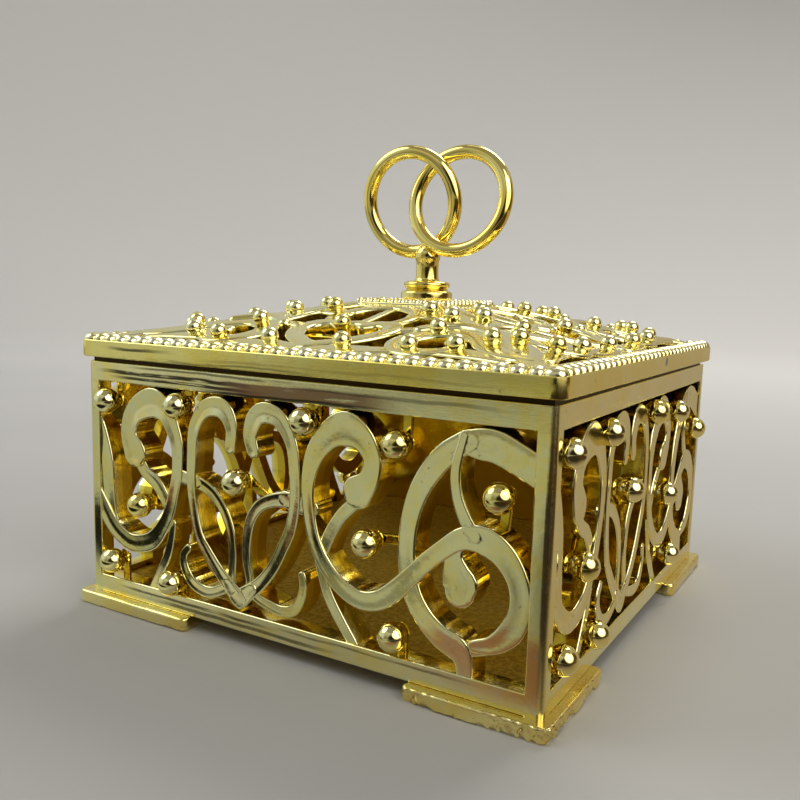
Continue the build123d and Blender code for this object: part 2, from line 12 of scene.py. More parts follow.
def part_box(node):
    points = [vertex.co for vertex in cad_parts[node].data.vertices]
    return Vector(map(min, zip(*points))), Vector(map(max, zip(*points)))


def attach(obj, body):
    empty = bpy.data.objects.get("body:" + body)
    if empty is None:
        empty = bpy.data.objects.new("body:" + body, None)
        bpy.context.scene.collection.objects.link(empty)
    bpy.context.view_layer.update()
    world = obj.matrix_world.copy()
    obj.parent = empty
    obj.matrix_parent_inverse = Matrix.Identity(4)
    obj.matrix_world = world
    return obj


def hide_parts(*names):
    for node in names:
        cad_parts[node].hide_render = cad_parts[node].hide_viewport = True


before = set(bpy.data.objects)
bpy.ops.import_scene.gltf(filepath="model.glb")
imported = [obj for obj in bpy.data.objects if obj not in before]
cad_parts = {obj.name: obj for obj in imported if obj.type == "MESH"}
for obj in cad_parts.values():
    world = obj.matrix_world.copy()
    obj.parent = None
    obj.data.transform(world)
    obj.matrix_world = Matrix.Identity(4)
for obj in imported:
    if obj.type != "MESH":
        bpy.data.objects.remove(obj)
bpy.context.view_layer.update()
MM = 0.001
SIDES = ["front", "right", "back", "left"]

# ------------------------------------------------------------------ places read from the CAD frame
front_lo, front_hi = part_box("panel_front")
BODY_HALF = -front_lo.y / MM
BODY_Z = front_lo.z / MM
BODY_H = (front_hi.z - front_lo.z) / MM
PANEL_T = (front_hi.y - front_lo.y) / MM
rim_lo, rim_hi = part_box("lid_rim")
RIM_HALF = rim_hi.x / MM
RIM_Z0 = rim_lo.z / MM
RIM_Z1 = rim_hi.z / MM
LID_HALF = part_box("lid_scroll_front")[1].x / MM
platform_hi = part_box("lid_platform")[1]
PLATFORM_HALF = platform_hi.x / MM
PLATFORM_Z = platform_hi.z / MM
RING_BOXES = {side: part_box(f"ring_{side}") for side in ("left", "right")}

# the lid's slope: distance from the middle and height above BODY_Z, at its outer and inner end
SLOPE_OUT, SLOPE_OUT_Z = 28.4, 31.7
SLOPE_IN, SLOPE_IN_Z = 7.2, 36.3
SLOPE = math.atan2(SLOPE_IN_Z - SLOPE_OUT_Z, SLOPE_OUT - SLOPE_IN)
SLOPE_L = math.hypot(SLOPE_IN_Z - SLOPE_OUT_Z, SLOPE_OUT - SLOPE_IN)
LID_SCROLL_T = 1.8

# panel frame widths
TOP_RAIL, BOTTOM_RAIL, STILE = 2.4, 2.2, 1.85

# ------------------------------------------------------------------ scrollwork centre lines
# Panel scrolls: (level, crown, [(across, up, band width), ...]) in the panel's own plane.
# Level is the face's height above the frame's face; crown is its dome, or its dish if negative.
PANEL_SCROLLS = [
    # left spiral scroll
    (0.0, -0.20, [
        (-22.3, 18.2, 3.58), (-23.3, 20.5, 2.58), (-22.3, 23.0, 2.91), (-19.5, 24.4, 3.58),
        (-17.3, 23.6, 2.8), (-16.2, 22.0, 2.24), (-15.4, 20.0, 1.9), (-15.3, 18.0, 1.68),
        (-15.5, 16.0, 1.57), (-16.0, 14.0, 1.57), (-16.6, 12.0, 1.68), (-17.7, 10.0, 1.79),
        (-19.5, 7.95, 2.24), (-22.0, 7.1, 2.24), (-24.0, 7.3, 2.24), (-26.3, 8.7, 2.24),
        (-28.4, 11.3, 2.24), (-29.6, 13.2, 2.02)]),
    # its inner tendril
    (-0.28, -0.10, [
        (-21.7, 17.0, 1.68), (-20.6, 15.8, 1.68), (-19.0, 14.9, 1.68), (-17.7, 13.3, 1.68),
        (-16.9, 11.8, 1.46)]),
    # leaf against the left stile
    (-0.16, -0.14, [
        (-29.7, 22.0, 2.91), (-28.3, 19.5, 2.46), (-27.3, 16.5, 2.13), (-27.0, 13.0, 2.02),
        (-26.6, 10.3, 1.79), (-25.9, 8.2, 1.57)]),
    # left stem
    (-0.34, -0.10, [
        (-16.4, 10.4, 1.01), (-16.7, 8.6, 1.06), (-17.3, 6.5, 1.23), (-18.3, 4.5, 1.23),
        (-19.9, 1.7, 1.12)]),
    # heart, left lobe
    (-0.05, -0.19, [
        (-7.4, 20.6, 1.57), (-7.2, 22.5, 1.68), (-7.9, 24.2, 2.24), (-9.3, 24.9, 2.35),
        (-11.3, 24.3, 2.02), (-12.8, 22.0, 1.57), (-13.1, 19.0, 1.46), (-13.2, 16.0, 1.34),
        (-12.9, 13.0, 1.29), (-12.1, 10.0, 1.34), (-10.8, 8.2, 1.46), (-8.9, 6.1, 1.57),
        (-7.2, 4.6, 1.9), (-6.0, 3.6, 2.24)]),
    # heart, right lobe
    (-0.09, -0.19, [
        (-4.2, 20.6, 1.68), (-4.6, 22.3, 1.9), (-3.9, 24.2, 2.24), (-2.5, 24.9, 2.35),
        (-0.5, 24.3, 2.02), (1.0, 22.0, 1.57), (1.5, 19.0, 1.46), (1.6, 16.0, 1.46),
        (1.1, 13.0, 1.46), (0.0, 10.5, 1.46), (-1.3, 8.1, 1.46), (-3.0, 6.0, 1.57),
        (-4.7, 4.6, 1.9), (-6.0, 3.6, 2.24)]),
    # ties between the heart and the scrolls on either side
    (-0.25, -0.05, [(-15.6, 16.4, 1.57), (-14.0, 16.1, 1.68), (-12.5, 15.9, 1.68)]),
    (-0.27, -0.05, [(0.2, 15.9, 1.9), (1.6, 15.6, 2.02), (3.6, 15.4, 1.9)]),
    # petals inside the heart, left and right
    (-0.22, -0.19, [
        (-13.2, 15.9, 1.57), (-11.8, 15.75, 1.57), (-10.0, 14.9, 1.46), (-8.4, 13.2, 1.34),
        (-7.4, 11.0, 1.23), (-7.1, 8.5, 1.12), (-7.2, 6.0, 1.12), (-6.9, 4.3, 1.12)]),
    (-0.20, -0.19, [
        (1.6, 15.9, 1.79), (0.4, 15.85, 1.79), (-1.5, 15.5, 1.57), (-3.3, 14.6, 1.46),
        (-4.6, 12.7, 1.34), (-5.1, 10.0, 1.23), (-5.0, 8.0, 1.23), (-4.6, 6.0, 1.12),
        (-4.9, 4.4, 1.12)]),
    # curls under the heart, left and right
    (-0.12, -0.14, [
        (-7.2, 4.9, 1.23), (-8.3, 4.3, 1.34), (-9.8, 3.6, 1.34), (-11.3, 3.4, 1.46),
        (-13.1, 4.0, 1.46), (-14.3, 5.5, 1.29), (-14.5, 7.0, 1.12), (-13.8, 8.0, 1.01)]),
    (-0.14, -0.14, [
        (-4.6, 4.9, 1.23), (-3.3, 4.2, 1.23), (-1.6, 3.7, 1.34), (0.0, 3.5, 1.34),
        (1.6, 4.0, 1.34), (2.5, 5.5, 1.12), (2.8, 7.0, 1.01), (2.6, 8.0, 1.01)]),
    # large spiral band
    (-0.02, -0.10, [
        (9.5, 18.1, 3.58), (10.8, 19.6, 2.35), (11.1, 21.6, 2.13), (9.9, 23.5, 2.8),
        (7.8, 24.3, 3.7), (5.7, 23.3, 2.91), (4.0, 21.0, 2.24), (3.3, 18.0, 1.68),
        (3.5, 15.0, 1.57), (4.3, 12.0, 1.57), (5.7, 9.7, 1.79), (7.7, 7.9, 1.9),
        (10.0, 7.05, 2.02), (12.3, 7.5, 2.13), (14.5, 9.2, 2.13), (17.0, 11.9, 1.9),
        (19.5, 14.2, 1.9), (21.3, 15.4, 2.24), (23.4, 15.6, 2.8), (25.5, 14.5, 2.58),
        (27.0, 12.3, 2.24), (27.3, 9.8, 2.24), (26.5, 7.5, 2.46), (24.8, 5.9, 1.9),
        (22.9, 5.3, 1.34)]),
    # its inner tendril
    (-0.32, -0.08, [
        (9.2, 17.0, 1.46), (7.5, 15.4, 1.46), (6.2, 13.5, 1.46), (5.3, 11.4, 1.46),
        (5.2, 10.2, 1.34)]),
    # right stem
    (-0.26, -0.06, [
        (4.3, 11.2, 1.01), (5.0, 9.0, 1.12), (6.0, 6.5, 1.34), (7.5, 4.2, 1.34),
        (9.5, 1.7, 1.12)]),
    # large C scroll
    (-0.09, -0.04, [
        (21.6, 24.7, 2.24), (20.9, 24.3, 2.35), (18.7, 22.6, 2.46), (16.6, 19.5, 2.24),
        (15.5, 16.0, 2.02), (15.3, 12.5, 2.02), (15.9, 9.3, 2.13), (17.3, 7.0, 2.24),
        (19.2, 5.4, 2.46), (21.2, 4.5, 2.58), (21.9, 3.2, 1.9), (22.0, 1.6, 1.68)]),
    # its fishtail
    (-0.18, -0.04, [(20.6, 4.7, 2.13), (22.4, 4.8, 1.46), (24.2, 5.0, 0.78)]),
    # band into the top right corner
    (-0.11, -0.03, [
        (21.4, 24.5, 2.46), (22.6, 24.5, 3.02), (24.3, 24.4, 3.14), (26.3, 23.6, 3.02),
        (28.0, 22.8, 3.02), (29.6, 22.1, 3.02)]),
    # thin strip from the C down to the large band
    (-0.06, -0.04, [
        (21.1, 25.2, 1.01), (20.35, 22.0, 1.12), (20.5, 19.5, 1.23), (21.5, 17.2, 1.46),
        (22.6, 15.8, 1.46)]),
    # teardrop under the right end of the large band
    (-0.18, -0.05, [
        (20.9, 14.9, 1.34), (20.4, 13.6, 1.9), (20.6, 12.2, 2.91), (21.1, 10.9, 3.81),
        (21.1, 10.2, 3.25)]),
]
# flat tip under the heart: (across, up, band width)
HEART_TIP = [(-7.7, 5.1, 1.5), (-6.9, 4.2, 1.8), (-6.0, 3.5, 2.1), (-5.1, 4.2, 1.8), (-4.3, 5.1, 1.5)]
# filled web between the leaf and the left stile: (across, up)
LEAF_WEB = [(-29.6, 21.0), (-28.2, 18.5), (-27.5, 15.5), (-27.2, 12.0), (-28.0, 11.3), (-29.6, 13.0)]
# panel studs: centre across, centre up, far ends of the webs that carry the stud
STUDS = [
    (-26.5, 24.1, [(-26.5, 27.0)]),
    (-15.0, 24.5, [(-15.0, 27.0)]),
    (-21.0, 12.1, [(-16.8, 12.4)]),
    (-25.9, 4.4, [(-25.9, 1.2)]),
    (-16.1, 3.5, [(-16.1, 1.2)]),
    (-6.2, 16.9, [(-9.4, 14.4), (-3.0, 14.8)]),
    (2.9, 24.6, [(2.9, 27.0)]),
    (14.1, 23.5, [(14.1, 27.0)]),
    (10.9, 13.2, [(15.3, 13.6)]),
    (25.0, 19.9, [(24.6, 15.5)]),
    (14.2, 4.3, [(14.2, 1.2)]),
]
# Lid scrolls on one sloping side, mirrored about 0:
# (level, crown, [(along the edge, up the slope, band width), ...])
LID_SCROLLS = [
    # big scroll and its tail into the corner
    (0.0, 0.12, [
        (15.3, 7.0, 2.0), (16.6, 5.6, 1.8), (15.9, 3.5, 2.0), (13.4, 2.4, 2.4),
        (10.7, 3.6, 2.7), (9.6, 6.3, 2.9), (10.9, 9.2, 3.1), (14.0, 10.6, 3.2),
        (17.3, 9.0, 2.9), (19.4, 6.2, 2.6), (22.2, 3.8, 2.5), (26.0, 2.6, 2.4)]),
    # corner leaf
    (-0.12, 0.08, [(18.4, 8.6, 1.8), (20.6, 7.6, 2.2), (22.6, 5.9, 2.0), (24.6, 3.9, 1.6)]),
    # heart over the middle of the edge
    (-0.04, 0.14, [
        (0.0, 2.6, 2.6), (2.0, 4.0, 2.3), (4.6, 6.4, 2.4), (5.9, 9.2, 2.5),
        (5.2, 11.8, 2.5), (3.0, 12.4, 2.2), (1.6, 11.0, 1.5)]),
    # leaf above the heart
    (-0.08, 0.12, [
        (0.0, 12.7, 1.6), (2.2, 12.3, 1.6), (4.4, 13.2, 1.8), (5.2, 15.8, 1.9),
        (4.3, 18.6, 1.9), (2.2, 20.4, 1.8), (0.0, 21.4, 1.8)]),
    # long arch from the big scroll up to the platform
    (0.06, 0.22, [
        (10.9, 12.4, 1.8), (10.2, 14.6, 2.0), (9.6, 16.8, 2.1), (8.3, 19.2, 2.1),
        (6.2, 21.4, 2.0)]),
    # short arch over the big scroll
    (0.14, 0.25, [
        (9.4, 10.6, 1.5), (11.2, 12.2, 1.9), (13.6, 12.9, 2.0), (15.7, 12.3, 1.9),
        (17.6, 10.9, 1.5)]),
    # small links
    (-0.17, 0.05, [(6.0, 10.6, 1.6), (8.0, 11.2, 1.8), (10.2, 11.4, 1.6)]),
    (-0.1, 0.05, [(1.5, 1.75, 2.0), (4.8, 2.2, 2.8), (8.4, 2.4, 2.3), (11.0, 3.0, 2.0)]),
    (-0.12, 0.05, [(4.6, 17.3, 1.7), (6.8, 17.8, 2.6), (9.2, 17.8, 1.7)]),
    (-0.09, 0.05, [(15.6, 3.3, 2.0), (17.6, 3.5, 2.7), (20.4, 3.0, 2.3), (23.0, 2.2, 2.0)]),
]
# straight stem in the middle of the leaf: (along the edge, up the slope, band width)
LID_STEM = [(0, 12.6, 1.3), (0, 21.2, 1.3)]
# lid pegs: centre along the edge, centre up the slope, far ends of carrying webs; pegs off the
# middle are mirrored
LID_PEGS = [
    (0.0, 9.4, [(5.6, 9.6), (-5.6, 9.6)]),
    (4.8, 2.3, []),
    (6.8, 17.8, []),
    (12.2, 9.8, []),
    (12.6, 2.7, []),
    (17.4, 3.7, []),
    (19.8, 6.8, []),
    (11.0, 15.2, []),
]


# ------------------------------------------------------------------ mesh tools
def link_object(name, data):
    obj = bpy.data.objects.new(name, data)
    bpy.context.scene.collection.objects.link(obj)
    return obj


def new_object(name, verts, faces):
    """An object from vertices in metres, with its normals facing out."""
    mesh = bpy.data.meshes.new(name)
    mesh.from_pydata([tuple(v) for v in verts], [], [tuple(f) for f in faces])
    mesh.validate()
    obj = link_object(name, mesh)
    bm = bmesh.new()
    bm.from_mesh(mesh)
    bmesh.ops.recalc_face_normals(bm, faces=bm.faces)
    bm.to_mesh(mesh)
    bm.free()
    return obj


def joined(name, parts):
    """One object from several (vertices, faces) pairs."""
    verts, faces, base = [], [], 0
    for part_verts, part_faces in parts:
        verts.append(part_verts)
        faces += [tuple(i + base for i in face) for face in part_faces]
        base += len(part_verts)
    return new_object(name, np.vstack(verts), faces)


def remove_object(obj):
    mesh = obj.data
    bpy.data.objects.remove(obj)
    bpy.data.meshes.remove(mesh)


def evaluated_mesh(obj):
    depsgraph = bpy.context.evaluated_depsgraph_get()
    depsgraph.update()
    return bpy.data.meshes.new_from_object(obj.evaluated_get(depsgraph))


def bake(obj, mesh):
    """Gives obj a mesh evaluated from it, in place of its modifiers and old mesh."""
    old = obj.data
    obj.modifiers.clear()
    obj.data = mesh
    bpy.data.meshes.remove(old)


def boolean(target, other, operation):
    """target becomes target (operation) other; other is removed."""
    mod = target.modifiers.new("cut", "BOOLEAN")
    mod.object = other
    mod.operation = operation
    mod.solver = "MANIFOLD"
    mesh = evaluated_mesh(target)
    # the manifold solver gives nothing when an input isn't watertight
    if len(mesh.polygons) == 0:
        bpy.data.meshes.remove(mesh)
        mod.solver = "EXACT"
        mesh = evaluated_mesh(target)
    bake(target, mesh)
    remove_object(other)
    return target


def union(objs):
    """Joins neighbours in pairs until one object is left."""
    while len(objs) > 1:
        pairs = [objs[i:i + 2] for i in range(0, len(objs), 2)]
        objs = [boolean(p[0], p[1], "UNION") if len(p) == 2 else p[0] for p in pairs]
    return objs[0]


def finish_mesh(obj, angle=38.0, weighted=True):
    """Cleans and closes the mesh, and shades it smooth below the given angle in degrees."""
    mesh = obj.data
    bm = bmesh.new()
    bm.from_mesh(mesh)
    bmesh.ops.remove_doubles(bm, verts=bm.verts, dist=1e-7)
    bmesh.ops.dissolve_degenerate(bm, edges=bm.edges, dist=1e-7)
    torn = [edge for edge in bm.edges if edge.is_boundary]
    if torn:
        bmesh.ops.holes_fill(bm, edges=torn, sides=0)
    bmesh.ops.delete(bm, geom=[v for v in bm.verts if not v.link_faces], context="VERTS")
    bm.to_mesh(mesh)
    bm.free()
    mesh.polygons.foreach_set("use_smooth", [True] * len(mesh.polygons))
    mesh.set_sharp_from_angle(angle=math.radians(angle))
    if weighted:
        mod = obj.modifiers.new("normals", "WEIGHTED_NORMAL")
        mod.keep_sharp = True
        mod.weight = 60
        bake(obj, evaluated_mesh(obj))
    return obj


def turned_copy(obj, name, quarters):
    """A copy turned by quarter turns about Z, with the turn in its vertices."""
    mesh = obj.data.copy()
    mesh.name = name
    mesh.transform(Matrix.Rotation(quarters * math.pi / 2, 4, "Z"))
    return link_object(name, mesh)


def arc(centre_x, centre_y, radius, start, end, steps=6):
    """Points along an arc, from one angle to another in degrees."""
    angles = [math.radians(start + (end - start) * k / steps) for k in range(steps + 1)]
    return [(centre_x + radius * math.cos(a), centre_y + radius * math.sin(a)) for a in angles]


def wrap(rows):
    """Quads between neighbouring closed rows of equal length."""
    faces = []
    for a, b in zip(rows, rows[1:]):
        for k in range(len(a)):
            k2 = (k + 1) % len(a)
            faces.append((a[k], a[k2], b[k2], b[k]))
    return faces


def skin(rows, segments):
    """Faces between the rows of a turned shape; a row of one point gets a fan."""
    faces = []
    for a, b in zip(rows, rows[1:]):
        for k in range(segments):
            k2 = (k + 1) % segments
            if len(a) == 1:
                faces.append((a[0], b[k], b[k2]))
            elif len(b) == 1:
                faces.append((a[k], b[0], a[k2]))
            else:
                faces.append((a[k], b[k], b[k2], a[k2]))
    return faces


def revolve(profile, segments):
    """Vertices and rows of (radius, height) points turned about the third axis."""
    verts, rows = [], []
    for radius, height in profile:
        if radius < 1e-6:
            rows.append([len(verts)])
            verts.append((0, 0, height))
            continue
        rows.append([len(verts) + k for k in range(segments)])
        for k in range(segments):
            a = 2 * math.pi * k / segments
            verts.append((radius * math.cos(a), radius * math.sin(a), height))
    return np.array(verts, float), rows


def lathe(profile, segments):
    """A closed turned shape; the profile runs down from the axis at the top."""
    verts, rows = revolve(profile, segments)
    faces = skin(rows, segments)
    if len(rows[-1]) > 1:
        faces.append(tuple(reversed(rows[-1])))
    return verts, faces


def prism_faces(n):
    """Faces of a prism whose first n points are its lower end and last n its upper end."""
    sides = [(i, (i + 1) % n, n + (i + 1) % n, n + i) for i in range(n)]
    return [tuple(range(n))[::-1], tuple(range(n, 2 * n))] + sides


def prism(name, outline, z0, z1):
    """A closed upright prism over a plan outline."""
    verts = [(x * MM, y * MM, z * MM) for z in (z0, z1) for x, y in outline]
    return new_object(name, verts, prism_faces(len(outline)))


def smooth_line(points, spacing):
    """Even steps along a Catmull-Rom curve through (x, y, width) points."""
    p = np.array(points, float)
    if len(p) == 2:
        dense = p[0] + (p[1] - p[0]) * np.linspace(0, 1, 40)[:, None]
    else:
        padded = np.vstack([2 * p[0] - p[1], p, 2 * p[-1] - p[-2]])
        out = []
        for i in range(1, len(padded) - 2):
            p0, p1, p2, p3 = padded[i - 1:i + 3]
            for t in np.linspace(0, 1, 24, endpoint=False):
                out.append(0.5 * (2 * p1 + (p2 - p0) * t
                                  + (2 * p0 - 5 * p1 + 4 * p2 - p3) * t * t
                                  + (3 * p1 - p0 - 3 * p2 + p3) * t ** 3))
        out.append(p[-1])
        dense = np.array(out)
    lengths = np.linalg.norm(np.diff(dense[:, :2], axis=0), axis=1)
    travelled = np.concatenate([[0], np.cumsum(lengths)])
    count = max(3, int(round(travelled[-1] / spacing)) + 1)
    stops = np.linspace(0, travelled[-1], count)
    return np.stack([np.interp(stops, travelled, dense[:, k]) for k in range(3)], 1)


# places along a round end, in degrees
CAP_ANGLES = (18, 36, 52, 68, 84)
# steps across a rounded edge: (share of the edge radius, most it may take of the half width)
EDGE_STEPS = ((0.0, 0.0), (0.07, 0.12), (0.27, 0.34), (0.58, 0.62), (1.0, 0.9))


def band(points, level, depth, radius=0.3, spacing=0.4, caps=True, crown=0.0):
    """A closed strip with rounded edges, in (across, up, out) coordinates.
    Its face is at out = level, domed by crown, and its back at out = -depth."""
    line = smooth_line(points, spacing)
    centres, halves = line[:, :2], line[:, 2] / 2
    ways = np.gradient(centres, axis=0)
    ways /= np.linalg.norm(ways, axis=1)[:, None]
    # stations: centre, direction, half width, offset along the direction
    stations = [(c, way, full, 0.0) for c, way, full in zip(centres, ways, halves)]
    if caps:
        sines = [math.sin(math.radians(t)) for t in CAP_ANGLES]
        start = [(centres[0], ways[0], halves[0], -halves[0] * s) for s in reversed(sines)]
        end = [(centres[-1], ways[-1], halves[-1], halves[-1] * s) for s in sines]
        stations = start + stations + end
    verts, rows = [], []
    for centre, way, full, shift in stations:
        half = math.sqrt(max(full * full - shift * shift, 1e-8))
        normal = np.array([-way[1], way[0]])
        inset = [min(k * radius, half * most) for k, most in EDGE_STEPS]
        middle = [k * (half - inset[-1]) for k in (-0.5, 0.0, 0.5)] if crown else []
        offsets = [-half + i for i in inset] + middle + [half - i for i in reversed(inset)]
        first = len(verts)
        for x in offsets:
            dist = max(full - math.hypot(shift, x), 0.0)
            dome = crown * (1 - (1 - min(dist / full, 1.0)) ** 2)
            if crown < 0:
                # narrow bands are dished less
                dome *= min(full / 0.9, 1.0)
            dist = min(dist, radius)
            rounding = math.sqrt(max(radius ** 2 - (radius - dist) ** 2, 0.0))
            p = centre + way * shift + normal * x
            verts.append((p[0], p[1], level + dome - radius + rounding))
        for x in (half, -half):
            p = centre + way * shift + normal * x
            verts.append((p[0], p[1], -depth))
        rows.append(list(range(first, len(verts))))
    return np.array(verts), wrap(rows) + [tuple(reversed(rows[0])), tuple(rows[-1])]


def on_front(v):
    """Panel coordinates (across, up, out) to the front side, in metres."""
    v = np.asarray(v, float)
    return np.stack([v[:, 0], -BODY_HALF - v[:, 2], BODY_Z + v[:, 1]], 1) * MM


def on_slope(v):
    """Lid face coordinates (along the edge, up the slope, out) to the front side, in metres."""
    v = np.asarray(v, float)
    y = -SLOPE_OUT + v[:, 1] * math.cos(SLOPE) - v[:, 2] * math.sin(SLOPE)
    z = BODY_Z + SLOPE_OUT_Z + v[:, 1] * math.sin(SLOPE) + v[:, 2] * math.cos(SLOPE)
    return np.stack([v[:, 0], y, z], 1) * MM


# ------------------------------------------------------------------ bookkeeping of the pieces
looks = []


def register(obj, piece, coat, part="lid"):
    """Notes that obj stands for a CAD piece, wears a coat and moves with the box or the lid."""
    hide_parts(piece)
    looks.append((obj, coat, part))


def register_sides(stem, front, coat, part="lid", back=None):
    """Registers the front piece and its turned copies; back is another source for the back."""
    for quarters, side in enumerate(SIDES):
        obj = front
        if quarters:
            source = back if back and side == "back" else front
            obj = turned_copy(source, f"{stem}_{side}_look", quarters)
        register(obj, f"{stem}_{side}", coat, part)


# ------------------------------------------------------------------ side panels
def build_panel(closed=False):
    """The front panel; a closed one has full-depth scrolls and a thin wall behind them."""
    scroll_depth = PANEL_T if closed else 3.0
    beam = dict(spacing=2.0, caps=False)
    bars = []
    for up, width in ((BODY_H - TOP_RAIL / 2, TOP_RAIL), (BOTTOM_RAIL / 2, BOTTOM_RAIL)):
        bars.append(band([(-32, up, width), (32, up, width)], 0.0, PANEL_T, 0.2, **beam))
    # each stile, then a set-back strip behind it
    for width, level, radius in ((2 * STILE, 0.0, 0.18), (3.6, -1.45, 0.2)):
        for side in (-1, 1):
            ends = [(side * BODY_HALF, up, width) for up in (-1, BODY_H - 1)]
            bars.append(band(ends, level, PANEL_T, radius, **beam))
    for level, crown, points in PANEL_SCROLLS:
        bars.append(band(points, level, scroll_depth, 0.26, crown=crown))
    bars.append(band(HEART_TIP, -0.08, PANEL_T, 0.26, crown=-0.10))
    for x, up, ends in STUDS:
        for end in ends:
            bars.append(band([(x, up, 1.0), (*end, 1.0)], -1.75, PANEL_T, 0.12, 1.0))
    objs = [new_object("bar", on_front(verts), faces) for verts, faces in bars]

    n = len(LEAF_WEB)
    verts = [(x, up, out) for out in (-0.55, -PANEL_T) for x, up in LEAF_WEB]
    faces = [tuple(range(n)), tuple(range(n, 2 * n))[::-1]]
    faces += [(i, n + i, n + (i + 1) % n, (i + 1) % n) for i in range(n)]
    objs.append(new_object("web", on_front(verts), faces))

    if closed:
        half, lo, hi = BODY_HALF - PANEL_T - 0.05, 1.2, BODY_H - 1.2
        corners = ((-half, lo), (half, lo), (half, hi), (-half, hi))
        verts = [(x, up, out) for out in (-PANEL_T, 0.7 - PANEL_T) for x, up in corners]
        objs.append(new_object("wall", on_front(verts), prism_faces(4)))
    panel = union(objs)

    # mitre the panel to its quarter of the plan, with half of each rounded corner
    round_r = 0.75
    centre = -BODY_HALF + round_r
    left = arc(centre, centre, round_r, 225, 270)
    right = [(-x, y) for x, y in reversed(left)]
    front_y = -BODY_HALF - 0.3
    front = [(centre + 0.1, front_y), (BODY_HALF - round_r - 0.1, front_y)]
    quarter = prism("cut", [(0, 0)] + left + front + right, BODY_Z, BODY_Z + BODY_H)
    panel = boolean(panel, quarter, "INTERSECT")
    panel.name = "panel_front_look"
    return finish_mesh(panel)


# ------------------------------------------------------------------ studs and pegs
def ball_on_shank(ball_r, shank_r, lift, sink, flare, rings=16):
    """Profile of a ball centred at out = lift, on a shank that flares at its foot, out = -sink."""
    neck_angle = math.asin(shank_r / ball_r)
    profile = [(0.0, lift + ball_r)]
    for i in range(1, rings + 1):
        t = math.pi - (math.pi - neck_angle) * i / rings
        profile.append((ball_r * math.sin(t), lift - ball_r * math.cos(t)))
    neck = profile[-1][1]
    return profile + [(shank_r, neck - 0.1), (shank_r, -sink + flare),
                      (shank_r + flare * 0.8, -sink)]


def build_studs():
    """The ball studs of the front panel."""
    profile = ball_on_shank(ball_r=1.5, shank_r=0.8, lift=0.25, sink=1.52, flare=0.22)
    verts, faces = lathe(profile, 36)
    parts = [(on_front(verts + (x, up, 0.0)), faces) for x, up, _ in STUDS]
    return finish_mesh(joined("studs_front_look", parts), 50, False)


def build_pegs():
    """The small round pegs of all four lid faces."""
    front = []
    for along, up, ends in LID_PEGS:
        # a peg in an opening reaches down to its web
        sink = 1.0 if ends else 0.25
        profile = ball_on_shank(ball_r=1.0, shank_r=0.84, lift=0.66, sink=sink, flare=0.08)
        verts, faces = lathe(profile, 24)
        for side in (1, -1) if along else (1,):
            front.append((on_slope(verts + (along * side, up, 0.0)), faces))
    parts = []
    for quarters in range(4):
        turn = np.array(Matrix.Rotation(quarters * math.pi / 2, 3, "Z"))
        parts += [(verts @ turn.T, faces) for verts, faces in front]
    return finish_mesh(joined("lid_pegs_look", parts), 50, False)


# ------------------------------------------------------------------ lid scrollwork
def build_lid_face():
    """The front sloping face of the lid."""
    depth = LID_SCROLL_T
    beam = dict(spacing=2.0, caps=False)
    top_half, top_up = SLOPE_IN + 3, SLOPE_L + 0.2
    bars = [
        band([(-31, -0.4, 2.4), (31, -0.4, 2.4)], -0.05, depth, 0.2, **beam),
        band([(-top_half, top_up, 2.4), (top_half, top_up, 2.4)], 0.02, depth, 0.2, **beam),
        band(LID_STEM, -0.2, depth, 0.25, 1.0, caps=False),
    ]
    for side in (-1, 1):
        hip = [(side * (SLOPE_OUT + 1.4), -1.5, 3.2), (side * (SLOPE_IN - 1.4), SLOPE_L + 1.5, 3.2)]
        bars.append(band(hip, 0.04, depth, 0.25, **beam))
        for level, crown, points in LID_SCROLLS:
            # mirrored bands differ a little in level, so that no two faces coincide
            mirrored = [(side * x, up, width) for x, up, width in points]
            bars.append(band(mirrored, level + 0.004 * side, depth, crown=crown))
    for along, up, ends in LID_PEGS:
        for end in ends:
            bars.append(band([(along, up, 1.1), (*end, 1.1)], -1.0, depth, 0.12, 1.0))
    face = union([new_object("bar", on_slope(verts), faces) for verts, faces in bars])
    outer, inner = LID_HALF, PLATFORM_HALF
    outline = [(-outer, -outer), (outer, -outer), (inner, -inner), (-inner, -inner)]
    face = boolean(face, prism("cut", outline, RIM_Z0 - 3, PLATFORM_Z + 8), "INTERSECT")
    face.name = "lid_scroll_front_look"
    return finish_mesh(face)


# ------------------------------------------------------------------ rim, platform and bead rows
def rounded_square(half, radius, steps):
    points = []
    for x, y, start in ((1, 1, 0), (-1, 1, 90), (-1, -1, 180), (1, -1, 270)):
        inner = half - radius
        points += arc(x * inner, y * inner, radius, start, start + 90, steps)
    return points


def square_ring(name, section, corner_r, steps):
    """A closed square moulding: section is a closed list of (half width, z) points."""
    widest = max(half for half, z in section)
    verts, rows = [], []
    for half, z in section:
        outline = rounded_square(half, max(corner_r - (widest - half), 0.02), steps)
        rows.append([len(verts) + k for k in range(len(outline))])
        verts += [(x * MM, y * MM, z * MM) for x, y in outline]
    return new_object(name, verts, wrap(rows + rows[:1]))


def build_rim():
    """Flat-sided band with eased outer edges."""
    ease = 0.16
    section = [
        (LID_HALF, RIM_Z0), (RIM_HALF - ease, RIM_Z0),
        (RIM_HALF - ease * 0.3, RIM_Z0 + ease * 0.3), (RIM_HALF, RIM_Z0 + ease),
        (RIM_HALF, RIM_Z1 - ease), (RIM_HALF - ease * 0.3, RIM_Z1 - ease * 0.3),
        (RIM_HALF - ease, RIM_Z1), (LID_HALF, RIM_Z1)]
    return finish_mesh(square_ring("lid_rim_look", section, corner_r=1.4, steps=10), 60)


